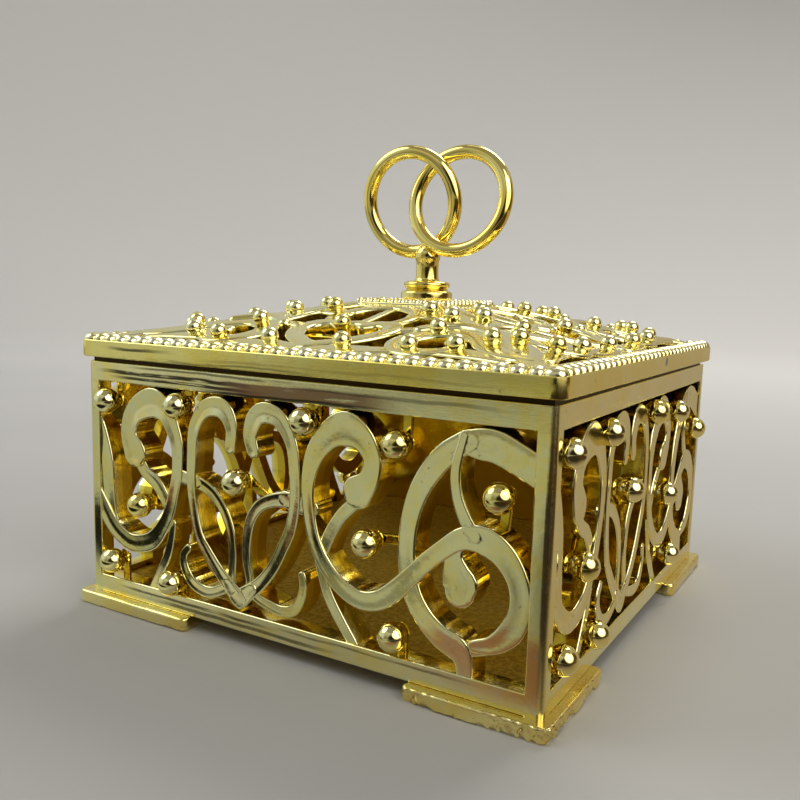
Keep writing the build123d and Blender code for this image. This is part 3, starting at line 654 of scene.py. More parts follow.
def build_platform():
    """Square plate with an eased top edge."""
    half, top = PLATFORM_HALF, PLATFORM_Z
    section = [(0.4, top - 2.0), (half, top - 2.0), (half, top - 0.18), (half - 0.05, top - 0.05),
               (half - 0.18, top), (0.4, top)]
    return finish_mesh(square_ring("lid_platform_look", section, corner_r=0.4, steps=6), 60)


def bead(half_x, half_y, height, segments, rings):
    """A domed bead on a squarish ellipse, with a short skirt below z = 0."""
    def squarish(value):
        return math.copysign(abs(value) ** 0.85, value)

    verts, rows = [(0, 0, height)], [[0]]
    for i in range(1, rings + 1):
        t = math.pi / 2 * i / rings
        rows.append([len(verts) + k for k in range(segments)])
        for k in range(segments):
            a = 2 * math.pi * k / segments
            verts.append((half_x * squarish(math.cos(a)) * math.sin(t),
                          half_y * squarish(math.sin(a)) * math.sin(t), height * math.cos(t)))
    rows.append([len(verts) + k for k in range(segments)])
    verts += [(x, y, -0.12) for x, y, z in verts[-segments:]]
    return np.array(verts), skin(rows, segments) + [tuple(reversed(rows[-1]))]


def bead_border(name, middle, z, places, size, segments, rings):
    """Beads round a square: middle is the row's distance from the centre, places are along an
    edge, and size(k) gives bead k's half length, half width and height."""
    parts = []
    for cos, sin in ((1, 0), (0, 1), (-1, 0), (0, -1)):
        turn = np.array([[cos, -sin, 0], [sin, cos, 0], [0, 0, 1]])
        for k, along in enumerate(places):
            verts, faces = bead(*size(k), segments, rings)
            parts.append(((verts + (along, -middle, z)) @ turn.T * MM, faces))
    return finish_mesh(joined(name, parts), 70, False)


def build_rim_beads():
    """Slightly uneven beads, with a rounder one in each corner."""
    inner, outer = LID_HALF + 0.05, RIM_HALF - 0.16
    middle, half_width = (inner + outer) / 2, (outer - inner) / 2
    count = 34
    first = outer - 0.2 - 0.75
    pitch = 2 * first / (count - 1)
    places = [-middle] + [-first + pitch * k for k in range(1, count - 1)]
    rng = np.random.default_rng(7)

    def size(k):
        wobble = rng.uniform(-0.04, 0.04, 3)
        length = 0.84 if k else half_width
        return length + wobble[0], half_width + wobble[1] * 0.5, 0.80 + wobble[2]

    return bead_border("lid_beads_look", middle, RIM_Z1, places, size, segments=16, rings=7)


def build_platform_beads():
    inner, outer = PLATFORM_HALF - 1.35, PLATFORM_HALF - 0.08
    middle, half_width = (inner + outer) / 2, (outer - inner) / 2
    count = 12
    pitch = 2 * middle / count
    places = [-middle + pitch * k for k in range(count)]
    return bead_border("platform_beads_look", middle, PLATFORM_Z, places,
                       lambda k: (0.5, half_width, 0.5), segments=12, rings=5)


# ------------------------------------------------------------------ finial and rings
def build_collar():
    """Two-stepped round collar on the platform."""
    base = PLATFORM_Z
    profile = [(0.0, base + 2.8), (1.55, base + 2.8), (2.55, base + 2.8)]
    profile += arc(2.62, base + 2.35, 0.42, 75, -60, 8)
    profile += [(2.72, base + 1.72), (2.9, base + 1.58)]
    profile += arc(2.95, base + 1.12, 0.45, 70, 0, 6)
    profile += arc(3.1, base + 0.3, 0.3, 0, -80, 5)
    profile += [(2.6, base - 0.02), (0.3, base - 0.02)]
    verts, faces = lathe(profile, 72)
    return finish_mesh(new_object("finial_collar_look", verts * MM, faces), 45)


def build_stem():
    """Round-headed stem, and a separate disc under the platform."""
    base, head = PLATFORM_Z, BODY_Z + 42.6
    stem = [(0.0, head + 1.75), (0.7, head + 1.6), (1.15, head + 1.25), (1.5, head + 0.75),
            (1.68, head + 0.2), (1.62, head - 0.35), (1.5, head - 0.7), (1.47, head - 1.5),
            (1.5, base + 3.25), (1.58, base + 3.0), (1.8, base + 2.78)]
    disc = [(0.0, base - 1.9), (1.2, base - 1.9), (1.2, base - 2.0), (2.2, base - 2.0),
            (2.2, base - 2.6), (1.9, base - 2.9), (0.0, base - 2.9)]
    parts = []
    for profile, segments in ((stem, 56), (disc, 40)):
        verts, faces = lathe(profile, segments)
        parts.append((verts * MM, faces))
    return finish_mesh(joined("finial_stem_look", parts), 50, False)


def build_ring(name, box, tilt, phase):
    """Upright ring of round, slightly uneven wire, tilted about X by an angle in degrees."""
    lo, hi = box
    centre = np.array([(lo.x + hi.x) / 2 / MM, 0, (lo.z + hi.z) / 2 / MM])
    wire = 0.92
    radius = (hi.x - lo.x) / 2 / MM - wire
    around, section = 144, 28
    verts = []
    for i in range(around):
        a = 2 * math.pi * i / around
        wire_r = wire * (1 + 0.010 * math.sin(3 * a + phase) - 0.014)
        ring_r = radius + 0.015 * math.sin(2 * a + phase)
        for k in range(section):
            b = 2 * math.pi * k / section
            reach = ring_r + wire_r * math.cos(b)
            verts.append((reach * math.cos(a), wire_r * math.sin(b), reach * math.sin(a)))
    rows = [list(range(i * section, (i + 1) * section)) for i in range(around)]
    cos, sin = math.cos(math.radians(tilt)), math.sin(math.radians(tilt))
    turn = np.array([[1, 0, 0], [0, cos, -sin], [0, sin, cos]])
    verts = np.array(verts) @ turn.T + centre
    return finish_mesh(new_object(name, verts * MM, wrap(rows + rows[:1])), 80, False)


# ------------------------------------------------------------------ feet
FOOT_HALF = BODY_HALF + 1.2
FOOT_W = 6.0
# feet: x sign, y sign, arm length along x, arm length along y, wear, random seed
FEET = {
    "foot_front_left": (-1, -1, 18.2, 16.0, 0.35, 3),
    "foot_front_right": (1, -1, 15.6, 15.7, 1.5, 5),
    "foot_back_right": (1, 1, 16.0, 17.2, 0.3, 8),
    "foot_back_left": (-1, 1, 16.0, 16.0, 0.3, 9),
}


def foot_plate(name, x_sign, y_sign, x_arm, y_arm):
    """L-shaped plate with rounded corners and eased edges, in even small facets."""
    out, inner = FOOT_HALF, FOOT_HALF - FOOT_W
    points = [(out, out), (out - x_arm, out), (out - x_arm + 1.0, inner), (inner, inner),
              (inner, out - y_arm + 1.0), (out, out - y_arm)]
    points = [(x_sign * x, y_sign * y) for x, y in points]
    if x_sign * y_sign < 0:
        points = points[::-1]
    bm = bmesh.new()
    bm.faces.new([bm.verts.new((x * MM, y * MM, 0.0)) for x, y in points])
    bmesh.ops.recalc_face_normals(bm, faces=bm.faces)
    bmesh.ops.bevel(bm, geom=bm.verts[:], offset=0.9 * MM, segments=5, affect="VERTICES",
                    profile=0.5)
    raised = bmesh.ops.extrude_face_region(bm, geom=bm.faces[:])["geom"]
    raised = [g for g in raised if isinstance(g, bmesh.types.BMVert)]
    bmesh.ops.translate(bm, vec=(0, 0, BODY_Z * MM), verts=raised)
    bmesh.ops.recalc_face_normals(bm, faces=bm.faces)
    level = [e for e in bm.edges if abs(e.verts[0].co.z - e.verts[1].co.z) < 1e-9]
    bmesh.ops.bevel(bm, geom=level, offset=0.22 * MM, segments=3, affect="EDGES", profile=0.6)
    mesh = bpy.data.meshes.new(name)
    bm.to_mesh(mesh)
    bm.free()
    obj = link_object(name, mesh)
    mod = obj.modifiers.new("even", "REMESH")
    mod.mode = "VOXEL"
    mod.voxel_size = 0.16 * MM
    bake(obj, evaluated_mesh(obj))
    return obj


def wear_foot(mesh, wear, seed):
    """Crumbles the outer lower edge inward and up."""
    co = np.zeros(len(mesh.vertices) * 3)
    mesh.vertices.foreach_get("co", co)
    co = co.reshape(-1, 3) / MM
    rng = np.random.default_rng(seed)

    def ripple(count, shortest, longest):
        """Sum of plane waves in random directions, with wavelengths in a range."""
        total = np.zeros(len(co))
        for _ in range(count):
            way = rng.normal(size=3)
            way /= np.linalg.norm(way)
            total += np.sin(co @ way * 2 * np.pi / rng.uniform(shortest, longest)
                            + rng.uniform(0, 6.28))
        return total / math.sqrt(count)

    crumbs = ripple(26, 0.55, 1.1)
    bites = ripple(14, 1.3, 3.2)
    slow = ripple(8, 5.0, 14.0)
    low = np.clip(1 - co[:, 2] / (BODY_Z * 0.9), 0, 1)
    edge = np.maximum(np.abs(co[:, 0]), np.abs(co[:, 1])) - (FOOT_HALF - 0.5)
    near = np.clip(edge / 0.4, 0, 1)
    worn = wear * np.clip(0.6 + 0.5 * slow, 0.1, 1.2)
    pull = near * worn * (0.10 * np.clip(0.8 + crumbs, 0, 2.4) * (0.35 + low)
                          + 0.16 * low * np.clip(0.6 + bites, 0, 2.0))
    lift = near * worn * low * (0.16 * np.clip(0.7 + crumbs, 0, 2.2)
                                + 0.22 * np.clip(0.4 + bites, 0, 2.0))
    co[:, 0] *= 1 - pull / FOOT_HALF
    co[:, 1] *= 1 - pull / FOOT_HALF
    co[:, 2] += lift * (co[:, 2] < BODY_Z * 0.7)
    mesh.vertices.foreach_set("co", (co * MM).ravel())
    mesh.update()


# ------------------------------------------------------------------ build
panel = build_panel()
closed_panel = build_panel(closed=True)
register_sides("panel", panel, "panel", part="box", back=closed_panel)
remove_object(closed_panel)
register_sides("studs", build_studs(), "stud", part="box")
register_sides("lid_scroll", build_lid_face(), "scroll")
register(build_pegs(), "lid_pegs", "peg")
register(build_rim(), "lid_rim", "rim")
register(build_rim_beads(), "lid_bead_border", "bead")
register(build_platform(), "lid_platform", "scroll")
register(build_platform_beads(), "platform_bead_border", "bead")
register(build_collar(), "finial_collar", "finial")
register(build_stem(), "finial_stem", "finial")
for side, tilt, phase in (("left", 10.3, 0.4), ("right", -10.3, 1.9)):
    ring = build_ring(f"ring_{side}_look", RING_BOXES[side], tilt, phase)
    register(ring, f"ring_{side}", "ring")
for piece, (*shape, wear, seed) in FEET.items():
    foot = foot_plate(f"{piece}_look", *shape)
    wear_foot(foot.data, wear, seed)
    finish_mesh(foot, 50, False)
    register(foot, piece, "foot", part="box")
for obj, _, part in looks:
    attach(obj, part)


# ------------------------------------------------------------------ shader tools
class Graph:
    """A material's node tree, with one short call for each kind of node."""

    def __init__(self, material):
        material.use_nodes = True
        self.tree = material.node_tree

    def add(self, kind):
        return self.tree.nodes.new("ShaderNode" + kind)

    def feed(self, socket, value):
        """Links a socket to another, or sets its value; colours are given without alpha."""
        if isinstance(value, bpy.types.NodeSocket):
            self.tree.links.new(value, socket)
        elif socket.type == "RGBA":
            socket.default_value = (*value, 1)
        else:
            socket.default_value = value

    def math(self, operation, *values):
        node = self.add("Math")
        node.operation = operation
        for socket, value in zip(node.inputs, values):
            self.feed(socket, value)
        return node.outputs[0]

    def vector(self, operation, *values):
        node = self.add("VectorMath")
        node.operation = operation
        for socket, value in zip(node.inputs, values):
            self.feed(socket, value)
        scalar = operation in ("DISTANCE", "LENGTH", "DOT_PRODUCT")
        return node.outputs["Value" if scalar else "Vector"]

    def mix(self, a, b, factor):
        """Colour a turning into colour b."""
        node = self.add("Mix")
        node.data_type = "RGBA"
        # the colour sockets come after those for numbers and vectors
        for index, value in ((0, factor), (6, a), (7, b)):
            self.feed(node.inputs[index], value)
        return node.outputs[2]

    def step(self, value, start, end, high=1.0):
        """A smooth step from 0 at start to high at end."""
        node = self.add("MapRange")
        node.interpolation_type = "SMOOTHSTEP"
        self.feed(node.inputs["Value"], value)
        for label, number in (("From Min", start), ("From Max", end), ("To Min", 0.0),
                              ("To Max", high)):
            node.inputs[label].default_value = number
        return node.outputs["Result"]

    def ramp(self, source, stops):
        """A colour ramp through (position, colour) stops."""
        node = self.add("ValToRGB")
        elements = node.color_ramp.elements
        while len(elements) < len(stops):
            elements.new(0.5)
        for element, (position, color) in zip(elements, stops):
            element.position = position
            element.color = (*color, 1)
        self.feed(node.inputs[0], source)
        return node.outputs["Color"]

    def fade(self, source, start, end):
        """Black below start, white above end."""
        return self.ramp(source, [(start, (0, 0, 0)), (end, (1, 1, 1))])

    def split(self, vector):
        node = self.add("SeparateXYZ")
        self.feed(node.inputs[0], vector)
        return node.outputs

    def mapping(self, vector, scale, location=(0, 0, 0)):
        node = self.add("Mapping")
        node.inputs["Scale"].default_value = scale
        node.inputs["Location"].default_value = location
        self.feed(node.inputs["Vector"], vector)
        return node.outputs["Vector"]

    def noise(self, vector, scale, detail=3.0, roughness=0.55):
        node = self.add("TexNoise")
        node.inputs["Scale"].default_value = scale
        node.inputs["Detail"].default_value = detail
        node.inputs["Roughness"].default_value = roughness
        self.feed(node.inputs["Vector"], vector)
        return node.outputs["Fac"]


# ------------------------------------------------------------------ gold coats
WARM_TINT = (1.0, 0.93, 0.62)
COOL_TINT = (0.90, 0.97, 1.10)
# painted dark reflection down the right-hand corners
CORNER_REFLECTION_COLOR = (0.10, 0.065, 0.03)
# drag marks show only in front of this y, in metres
DRAG_FRONT_Y = -0.0294


def tinted(color, tint):
    return tuple(c * t for c, t in zip(color, tint))


def recess_coat_and_shade(graph, place, color, kind, levels):
    """Browner away from the outer face, a thinner coat plus painted shade in the recesses: levels are
    (start, full, colour), measured from the middle out for a wall, or square to the lid's slope."""
    x, y, z = graph.split(place)
    widest = graph.math("MAXIMUM", graph.math("ABSOLUTE", x), graph.math("ABSOLUTE", y))
    out = graph.math("MULTIPLY", widest, 1000)
    if kind == "slope":
        cos, sin = math.cos(SLOPE), math.sin(SLOPE)
        face = -(BODY_Z + SLOPE_OUT_Z) * cos - SLOPE_OUT * sin
        out = graph.math("MULTIPLY_ADD", out, sin,
                         graph.math("MULTIPLY_ADD", z, 1000 * cos, face))
    for start, full, shade in levels:
        color = graph.mix(color, shade, graph.step(out, start, full))
    return color


def drag_mask(graph, place, grain, start, end, height, half, amount):
    """Mask of one long broken mark on the front, from x = start to x = end."""
    x, y, z = graph.split(place)
    along = graph.math("MULTIPLY", x, 1000)
    up = graph.math("MULTIPLY", z, 1000)
    stretched = graph.mapping(grain, (0.16, 0.16, 1.3 + 0.2 / half), (start, height, 0))
    tracks = graph.noise(stretched, scale=1.0, detail=4.0, roughness=0.6)
    # the mark wanders by a quarter of a millimetre each way
    sway = graph.noise(grain, scale=0.13, detail=2.0, roughness=0.5)
    wander = graph.math("MULTIPLY_ADD", sway, 0.5, -height - 0.25)
    off = graph.math("ABSOLUTE", graph.math("ADD", up, wander))
    mask = graph.math("MULTIPLY", graph.step(along, start - 2, start + 3),
                      graph.step(along, end + 3, end - 4))
    for limit in (graph.step(off, half + 0.10, half - 0.06),
                  graph.math("LESS_THAN", y, DRAG_FRONT_Y),
                  graph.step(tracks, 0.32, 0.46), amount):
        mask = graph.math("MULTIPLY", mask, limit)
    return mask


def chip_mask(graph, place, grain, centre, size):
    """Mask of one small uneven spot."""
    distance = graph.vector("DISTANCE", place, tuple(c * MM for c in centre))
    noise = graph.noise(grain, scale=2.2, detail=2.0)
    wobble = graph.math("MULTIPLY_ADD", noise, 0.8, -0.4)
    radius = graph.math("ADD", graph.math("MULTIPLY", distance, 1000 / size), wobble)
    return graph.math("LESS_THAN", radius, 1.0)


def coat_relief(graph, place, grain, wave, fine, streaks):
    """Bump of broad waves and fine level lines, the lines stronger within streaks."""
    broad = graph.noise(grain, scale=0.55, detail=2.0, roughness=0.5)
    small = graph.noise(grain, scale=2.6, detail=3.0, roughness=0.6)
    height = graph.math("ADD", graph.math("MULTIPLY", broad, wave),
                        graph.math("MULTIPLY", small, wave * 0.16))
    flattened = graph.mapping(grain, (1.0, 1.0, 14.0))
    lines = graph.noise(flattened, scale=0.5, detail=6.0, roughness=0.75)
    strength = fine
    if streaks:
        bottom, top, amount = streaks
        up = graph.math("MULTIPLY", graph.split(place)[2], 1000)
        inside = graph.math("MULTIPLY", graph.math("GREATER_THAN", up, bottom),
                            graph.math("LESS_THAN", up, top))
        strength = graph.math("MULTIPLY_ADD", inside, amount, fine)
    height = graph.math("ADD", height, graph.math("MULTIPLY", lines, strength))
    bump = graph.add("Bump")
    bump.inputs["Strength"].default_value = 1.0
    bump.inputs["Distance"].default_value = 0.00006
    graph.feed(bump.inputs["Height"], height)
    return bump.outputs[0]


def gold(name, color, stain, rough, wave, fine, seed, stain_at=0.70, streaks=None, depth=None,
         mottle=0.0, drags=(), chip=None, corner_dark_reflection=None):
    """Metallised gold: a mirror-like coat over slightly uneven moulding, with dull stains.
    wave and fine    strength of the broad and fine relief
    stain_at         noise level where stains begin
    streaks          (bottom z, top z, added strength of the fine lines)
    depth            (kind, levels) for recess_coat_and_shade, browner coat plus painted shade
    mottle           strength of cooler, duller patches
    drags            rows of a drag table
    chip             (centre, size, colour) of one bare spot
    corner_dark_reflection (start, full, strength) of the painted dark reflection down the corners at
    +x"""
    material = bpy.data.materials.new(name)
    graph = Graph(material)
    graph.tree.nodes.clear()
    output = graph.add("OutputMaterial")
    shader = graph.add("BsdfPrincipled")
    graph.feed(output.inputs["Surface"], shader.outputs[0])
    place = graph.add("TexCoord").outputs["Object"]
    # noise is scaled in mm and shifted so that coats differ
    grain = graph.mapping(place, (1000, 1000, 1000), (seed * 13.7, seed * 7.1, seed * 3.3))

    # colour: a warm drift, cool mottling, dull stains
    drift = graph.noise(grain, scale=0.16, detail=2.0)
    tone = graph.mix(color, tinted(color, WARM_TINT), graph.fade(drift, 0.42, 0.62))
    if mottle:
        patches = graph.noise(grain, scale=0.75, detail=5.0, roughness=0.62)
        cool = graph.math("MULTIPLY", graph.fade(patches, 0.45, 0.58), mottle)
        tone = graph.mix(tone, tinted(color, COOL_TINT), cool)
    spots = graph.noise(grain, scale=1.7, detail=5.0, roughness=0.62)
    stained = graph.fade(spots, stain_at - 0.05, stain_at + 0.04)
    tone = graph.mix(tone, stain, graph.math("MULTIPLY", stained, 0.55))
    # browner colour in the recesses: a thinner coat plus painted shade
    if depth:
        tone = recess_coat_and_shade(graph, place, tone, *depth)
    dragged = None
    for *shape, shade in drags:
        mask = drag_mask(graph, place, grain, *shape)
        tone = graph.mix(tone, shade, mask)
        dragged = graph.math("ADD", dragged, mask) if dragged else mask
    # painted dark reflection on the rounded corners, on the +x side only
    if corner_dark_reflection:
        start, full, strength = corner_dark_reflection
        x, y, z = graph.split(place)
        least = graph.math("MINIMUM", graph.math("ABSOLUTE", x), graph.math("ABSOLUTE", y))
        corner = graph.step(graph.math("MULTIPLY", least, 1000), start, full, high=strength)
        at_right = graph.math("GREATER_THAN", x, 0.0)
        tone = graph.mix(tone, CORNER_REFLECTION_COLOR, graph.math("MULTIPLY", corner, at_right))
    if chip:
        centre, size, bare = chip
        tone = graph.mix(tone, bare, chip_mask(graph, place, grain, centre, size))
    graph.feed(shader.inputs["Base Color"], tone)
    shader.inputs["Metallic"].default_value = 1.0

    # roughness: glossier in patches, duller on stains, mottling, drag marks and corners
    patch = graph.noise(grain, scale=0.42)
    dull = graph.math("MULTIPLY_ADD", patch, 0.12, rough - 0.06)
    dull = graph.math("ADD", dull, graph.math("MULTIPLY", stained, 0.22))
    if mottle:
        haze = graph.fade(graph.noise(grain, scale=1.3, detail=6.0, roughness=0.7), 0.50, 0.62)
        dull = graph.math("ADD", dull, graph.math("MULTIPLY", haze, 0.09 * mottle))
    if dragged:
        dull = graph.math("ADD", dull, graph.math("MULTIPLY", dragged, 0.2))
    if corner_dark_reflection:
        dull = graph.math("ADD", dull, graph.math("MULTIPLY", corner, 0.3))
    graph.feed(shader.inputs["Roughness"], graph.math("MAXIMUM", dull, 0.04))
    relief = coat_relief(graph, place, grain, wave, fine, streaks)
    graph.feed(shader.inputs["Normal"], relief)
    return material


PALE = (0.90, 0.82, 0.42)
STAIN = (0.30, 0.20, 0.07)
# recess colours: a thinner coat inside the scrollwork plus painted shade
DEEP = (0.90, 0.70, 0.09)
INNER = (0.64, 0.46, 0.045)
BLACK = (0.035, 0.024, 0.014)
MAROON = (0.19, 0.06, 0.04)
RAIL_Z = BODY_Z + BODY_H - TOP_RAIL
# drag marks: x from, x to, height, half thickness, strength, colour
PANEL_DRAGS = [
    (-27.0, -5.0, RAIL_Z + 1.30, 0.20, 0.95, BLACK),
    (-25.0, -4.0, RAIL_Z + 0.72, 0.15, 0.95, BLACK),
    (-22.0, 0.0, RAIL_Z + 2.05, 0.10, 0.7, BLACK),
    (-8.0, 13.0, RAIL_Z + 0.95, 0.62, 0.80, MAROON),
    (-11.0, 12.0, RAIL_Z + 0.30, 0.14, 0.9, BLACK),
    (2.0, 24.0, RAIL_Z + 1.55, 0.16, 0.5, BLACK),
    (-24.0, -2.0, BODY_Z + 1.35, 0.14, 0.8, BLACK),
    (-18.0, 6.0, BODY_Z + 0.75, 0.18, 0.7, BLACK),
    (0.0, 22.0, BODY_Z + 1.65, 0.10, 0.6, BLACK),
]
RIM_DRAGS = [
    (-25.0, -17.0, RIM_Z0 + 1.25, 0.16, 0.85, BLACK),
    (-19.0, 4.0, RIM_Z0 + 0.35, 0.10, 0.5, BLACK),
    (-10.0, 24.0, RIM_Z0 + 0.75, 0.12, 0.35, STAIN),
]
COATS = {
    "panel": dict(
        color=PALE, stain=(0.15, 0.10, 0.035), rough=0.12, wave=0.42, fine=0.05, seed=0.0,
        streaks=(BODY_Z + BODY_H - 2.5, BODY_Z + BODY_H + 1, 0.18),
        depth=("wall", [(29.35, 28.9, DEEP), (28.65, 28.3, INNER)]), mottle=0.6,
        drags=PANEL_DRAGS, corner_dark_reflection=(BODY_HALF - 0.45, BODY_HALF - 0.18, 0.6)),
    # darker, duller amber for the floor inside the box: a duller inner coat plus painted shade
    "floor": dict(
        color=(0.58, 0.39, 0.045), stain=(0.34, 0.22, 0.03), rough=0.50, wave=0.9, fine=0.10,
        seed=1.0, stain_at=0.50),
    "foot": dict(
        color=(0.90, 0.76, 0.32), stain=STAIN, rough=0.20, wave=0.5, fine=0.05, seed=2.0,
        stain_at=0.64, mottle=0.4),
    "stud": dict(
        color=PALE, stain=STAIN, rough=0.09, wave=0.12, fine=0.01, seed=3.0, stain_at=0.76,
        depth=("wall", [(29.3, 28.6, DEEP)])),
    "rim": dict(
        color=(0.90, 0.79, 0.27), stain=STAIN, rough=0.14, wave=0.3, fine=0.22, seed=4.0,
        stain_at=0.68, mottle=0.25, drags=RIM_DRAGS,
        chip=((RIM_HALF, 4.0, BODY_Z + 30.6), 0.55, (0.22, 0.23, 0.25)),
        corner_dark_reflection=(RIM_HALF - 1.0, RIM_HALF - 0.5, 0.7)),
    # near-black: painted shade of the gap under the rim; the lip itself is gold
    "lip": dict(
        color=(0.05, 0.03, 0.012), stain=(0.03, 0.02, 0.01), rough=0.45, wave=0.3, fine=0.05,
        seed=5.0),
    "bead": dict(
        color=(0.96, 0.90, 0.55), stain=STAIN, rough=0.22, wave=0.1, fine=0.01, seed=6.0,
        stain_at=0.76),
    "scroll": dict(
        color=PALE, stain=STAIN, rough=0.14, wave=0.34, fine=0.04, seed=7.0,
        depth=("slope", [(-0.40, -0.9, DEEP), (-1.2, -1.6, INNER)]), mottle=0.6),
    "peg": dict(
        color=(0.93, 0.86, 0.46), stain=STAIN, rough=0.15, wave=0.12, fine=0.01, seed=8.0,
        stain_at=0.76, depth=("slope", [(0.1, -0.8, DEEP)])),
    "finial": dict(
        color=(0.93, 0.77, 0.30), stain=STAIN, rough=0.10, wave=0.15, fine=0.01, seed=9.0,
        stain_at=0.74),
    "ring": dict(
        color=(0.95, 0.78, 0.26), stain=STAIN, rough=0.08, wave=0.16, fine=0.01, seed=10.0,
        stain_at=0.74),
}


def dress(obj, material):
    obj.data.materials.clear()
    obj.data.materials.append(material)


coats = {coat: gold(f"{coat}_gold_coat", **settings) for coat, settings in COATS.items()}
for obj, coat, _ in looks:
    dress(obj, coats[coat])
dress(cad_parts["base_plate"], coats["floor"])
# the lip wears the near-black painted shade of the gap under the rim
dress(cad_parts["lid_lip"], coats["lip"])


# ------------------------------------------------------------------ backdrop
def build_backdrop():
    """Floor running up into a round wall, in metres."""
    flat, bend_r = 0.55, 0.35
    profile = [(radius, 0.0) for radius in (0.0, 0.05, 0.1, 0.2, 0.3, 0.42, flat)]
    for k in range(1, 13):
        a = math.radians(90 * k / 12)
        profile.append((flat + bend_r * math.sin(a), bend_r - bend_r * math.cos(a)))
    profile += [(0.9, 0.6), (0.9, 1.0)]
    segments = 96
    verts, rows = revolve(profile, segments)
    faces = skin(rows, segments)
    mesh = bpy.data.meshes.new("backdrop")
    mesh.from_pydata(verts.tolist(), [], faces)
    mesh.polygons.foreach_set("use_smooth", [True] * len(faces))
    obj = link_object("backdrop", mesh)
    return obj


# painted reflection, glowing in glossy rays: what the coat reflects from far off, (height,
# colour), height running from 0 to 1 upward
STUDIO_RAMP = [
    (0.0, (0.34, 0.33, 0.28)), (0.15, (0.30, 0.29, 0.24)), (0.22, (0.20, 0.19, 0.15)),
    (0.38, (0.27, 0.27, 0.23)), (0.65, (0.42, 0.43, 0.40)), (1.0, (0.60, 0.60, 0.57))]
# painted light and dark patches in it, the last a glowing painted highlight: azimuth,
# elevation, inner radius, outer radius (degrees), colour
STUDIO_PATCHES = [
    (122, 28, 15, 40, (0.55, 0.54, 0.46)),
    (70, 3, 20, 48, (0.42, 0.36, 0.26)),
    (-165, 8, 28, 50, (0.62, 0.70, 0.74)),
    (-140, 0, 4, 9, (0.50, 0.50, 0.42)),
    (-61, 8, 16, 32, (0.020, 0.018, 0.014)),
    (-45, 34, 12, 24, (0.020, 0.018, 0.014)),
    (-15, 12, 14, 30, (0.05, 0.035, 0.02)),
    (25, 14, 16, 34, (0.09, 0.055, 0.03)),
    (-18, 35, 22, 38, (2.5, 2.45, 2.3)),
]
# painted reflection of the floor: a pale tone, another to the right of the box, and patches of
# painted shadow and light
FLOOR_TONE = (0.425, 0.445, 0.37)
RIGHT_TONE = (0.40, 0.33, 0.23)
# centre x, centre y, radius in x, radius in y, colour
FLOOR_PATCHES = [
    (-330, -250, 170, 130, (0.60, 0.60, 0.56)),
    (-24, -41, 12, 6, (0.60, 0.60, 0.52)),
    (-40, -56, 36, 15, (0.012, 0.012, 0.009)),
    (-44, -74, 15, 6, (0.20, 0.065, 0.055)),
    (22, -42, 13, 8, (0.28, 0.15, 0.11)),
    (-5, -57, 12, 6, (0.22, 0.23, 0.18)),
    (-125, -188, 26, 15, (0.12, 0.06, 0.05)),
    (-140, -290, 90, 75, (0.10, 0.085, 0.05)),
    (300, -120, 260, 190, (0.060, 0.038, 0.022)),
    (140, -25, 72, 80, (0.070, 0.042, 0.024)),
    (60, -97, 48, 68, (0.035, 0.026, 0.018)),
]


def paper_color(graph):
    """Faintly uneven grey, with a painted gradient of light: darker in front of the box as painted
    shade, lighter toward the back.
    """
    place = graph.add("TexCoord").outputs["Object"]
    uneven = graph.noise(place, scale=9.0, detail=2.0, roughness=0.5)
    tone = graph.ramp(uneven, [(0.3, (0.52, 0.51, 0.49)), (0.7, (0.57, 0.558, 0.53))])
    painted_light_toward_back = graph.step(graph.split(place)[1], -0.10, 0.45)
    return graph.mix(tone, (0.80, 0.785, 0.755), painted_light_toward_back)


def studio_reflection(graph):
    """The painted reflection of a studio: its colour, and a mask of where it stands in; places in
    metres.
    """
    position = graph.add("NewGeometry").outputs["Position"]
    from_box = graph.vector("SUBTRACT", position, (0, 0, 0.02))
    way = graph.vector("NORMALIZE", from_box)
    studio = graph.ramp(graph.step(graph.split(way)[2], -0.30, 1.0), STUDIO_RAMP)
    for azimuth, elevation, inner, outer, color in STUDIO_PATCHES:
        a, e = math.radians(azimuth), math.radians(elevation)
        axis = (math.cos(a) * math.cos(e), math.sin(a) * math.cos(e), math.sin(e))
        mask = graph.step(graph.vector("DOT_PRODUCT", way, axis),
                          math.cos(math.radians(outer)), math.cos(math.radians(inner)))
        studio = graph.mix(studio, color, mask)

    distance = graph.vector("LENGTH", from_box)
    far_tone = tuple(c * 0.72 for c in FLOOR_TONE)
    ground = graph.mix(FLOOR_TONE, far_tone, graph.step(distance, 0.14, 0.40))
    x, y, z = graph.split(position)
    to_right = graph.math("MULTIPLY", graph.step(x, 0.024, 0.036), graph.step(y, -0.060, -0.030))
    ground = graph.mix(ground, RIGHT_TONE, to_right)
    for centre_x, centre_y, radius_x, radius_y, color in FLOOR_PATCHES:
        offset = graph.vector("SUBTRACT", position, (centre_x * MM, centre_y * MM, 0))
        offset = graph.vector("DIVIDE", offset, (radius_x * MM, radius_y * MM, 1.0))
        ground = graph.mix(ground, color, graph.step(graph.vector("LENGTH", offset), 1.25, 0.75))
    studio = graph.mix(studio, ground, graph.math("LESS_THAN", z, 0.001))

    # close to the box the plain paper is reflected, except on its right
    far = graph.math("MAXIMUM", graph.step(distance, 0.040, 0.052), graph.step(x, 0.0303, 0.0318))
    glossy = graph.add("LightPath").outputs["Is Glossy Ray"]
    return studio, graph.math("MULTIPLY", glossy, far)


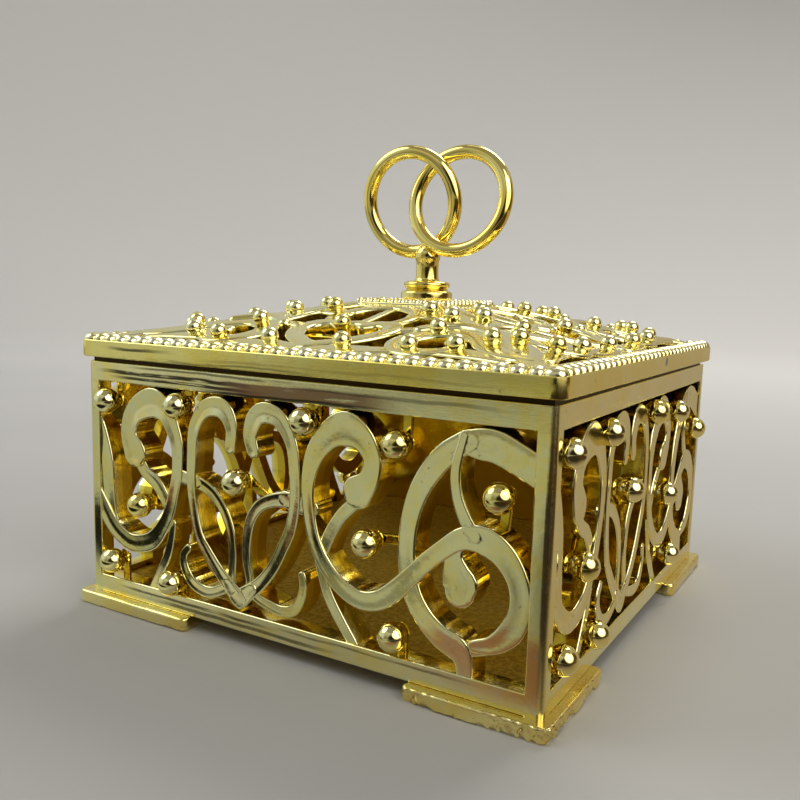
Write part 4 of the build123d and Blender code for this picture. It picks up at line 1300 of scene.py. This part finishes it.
def paper():
    """Matt paper that glows in reflections with a painted studio of pale and dark areas."""
    material = bpy.data.materials.new("backdrop_paper")
    graph = Graph(material)
    shader = graph.tree.nodes["Principled BSDF"]
    shader.inputs["Roughness"].default_value = 0.9
    shader.inputs["Specular IOR Level"].default_value = 0.1
    graph.feed(shader.inputs["Base Color"], paper_color(graph))
    studio, mask = studio_reflection(graph)
    glow = graph.add("Emission")
    graph.feed(glow.inputs["Color"], studio)
    blend = graph.add("MixShader")
    for socket, source in zip(blend.inputs, (mask, shader.outputs[0], glow.outputs[0])):
        graph.feed(socket, source)
    graph.feed(graph.tree.nodes["Material Output"].inputs["Surface"], blend.outputs[0])
    return material


# ------------------------------------------------------------------ camera, lights and world
# the camera's place, and its axes in the scene
CAMERA_PLACE = np.array([54.924, -98.328, 38.148 + BODY_Z]) * MM
CAMERA_RIGHT = Vector((0.85697824, 0.51460642, 0.02772219))
CAMERA_UP = Vector((-0.09003357, 0.09653437, 0.99124925))
CAMERA_BACK = Vector((0.50742709, -0.85197497, 0.12905971))
BOX_MIDDLE = (0, 0, 0.02)
# lamps: name, place, target (metres), disc size (metres), power (W), colour
LAMPS = [
    # high on the right
    ("key", (0.31, -0.12, 0.38), BOX_MIDDLE, 0.26, 0.40, (1.0, 0.98, 0.95)),
    # broad, high on the left
    ("soft", (-0.50, -0.20, 0.50), BOX_MIDDLE, 0.50, 1.15, (0.95, 0.98, 1.0)),
    # from behind
    ("back", (0.02, 0.50, 0.66), BOX_MIDDLE, 0.42, 2.45, (1.0, 0.98, 0.95)),
    # onto the backdrop
    ("wash", (-0.15, 0.25, 0.80), (-0.50, 0.82, 0.25), 0.40, 0.50, (1.0, 1.0, 1.0)),
]


def add_camera():
    data = bpy.data.cameras.new("camera")
    data.sensor_width = 36
    data.lens = 37.97865
    data.clip_start = 0.002
    data.clip_end = 10
    camera = link_object("camera", data)
    turn = Matrix((CAMERA_RIGHT, CAMERA_UP, CAMERA_BACK)).transposed()
    camera.matrix_world = Matrix.Translation(Vector(CAMERA_PLACE)) @ turn.to_4x4()
    bpy.context.scene.camera = camera


def add_lamp(name, place, target, size, energy, color):
    light = bpy.data.lights.new(name, "AREA")
    light.shape = "DISK"
    light.size = size
    light.energy = energy
    light.color = color
    light.spread = math.pi
    lamp = link_object(name, light)
    lamp.location = place
    lamp.rotation_mode = "QUATERNION"
    lamp.rotation_quaternion = (Vector(target) - Vector(place)).to_track_quat("-Z", "Y")


def add_world():
    world = bpy.data.worlds.new("world")
    bpy.context.scene.world = world
    world.use_nodes = True
    background = world.node_tree.nodes["Background"]
    background.inputs["Color"].default_value = (0.80, 0.80, 0.78, 1)
    background.inputs["Strength"].default_value = 0.34


dress(build_backdrop(), paper())
add_camera()
for lamp in LAMPS:
    add_lamp(*lamp)
add_world()
bpy.context.scene.view_settings.view_transform = "Standard"
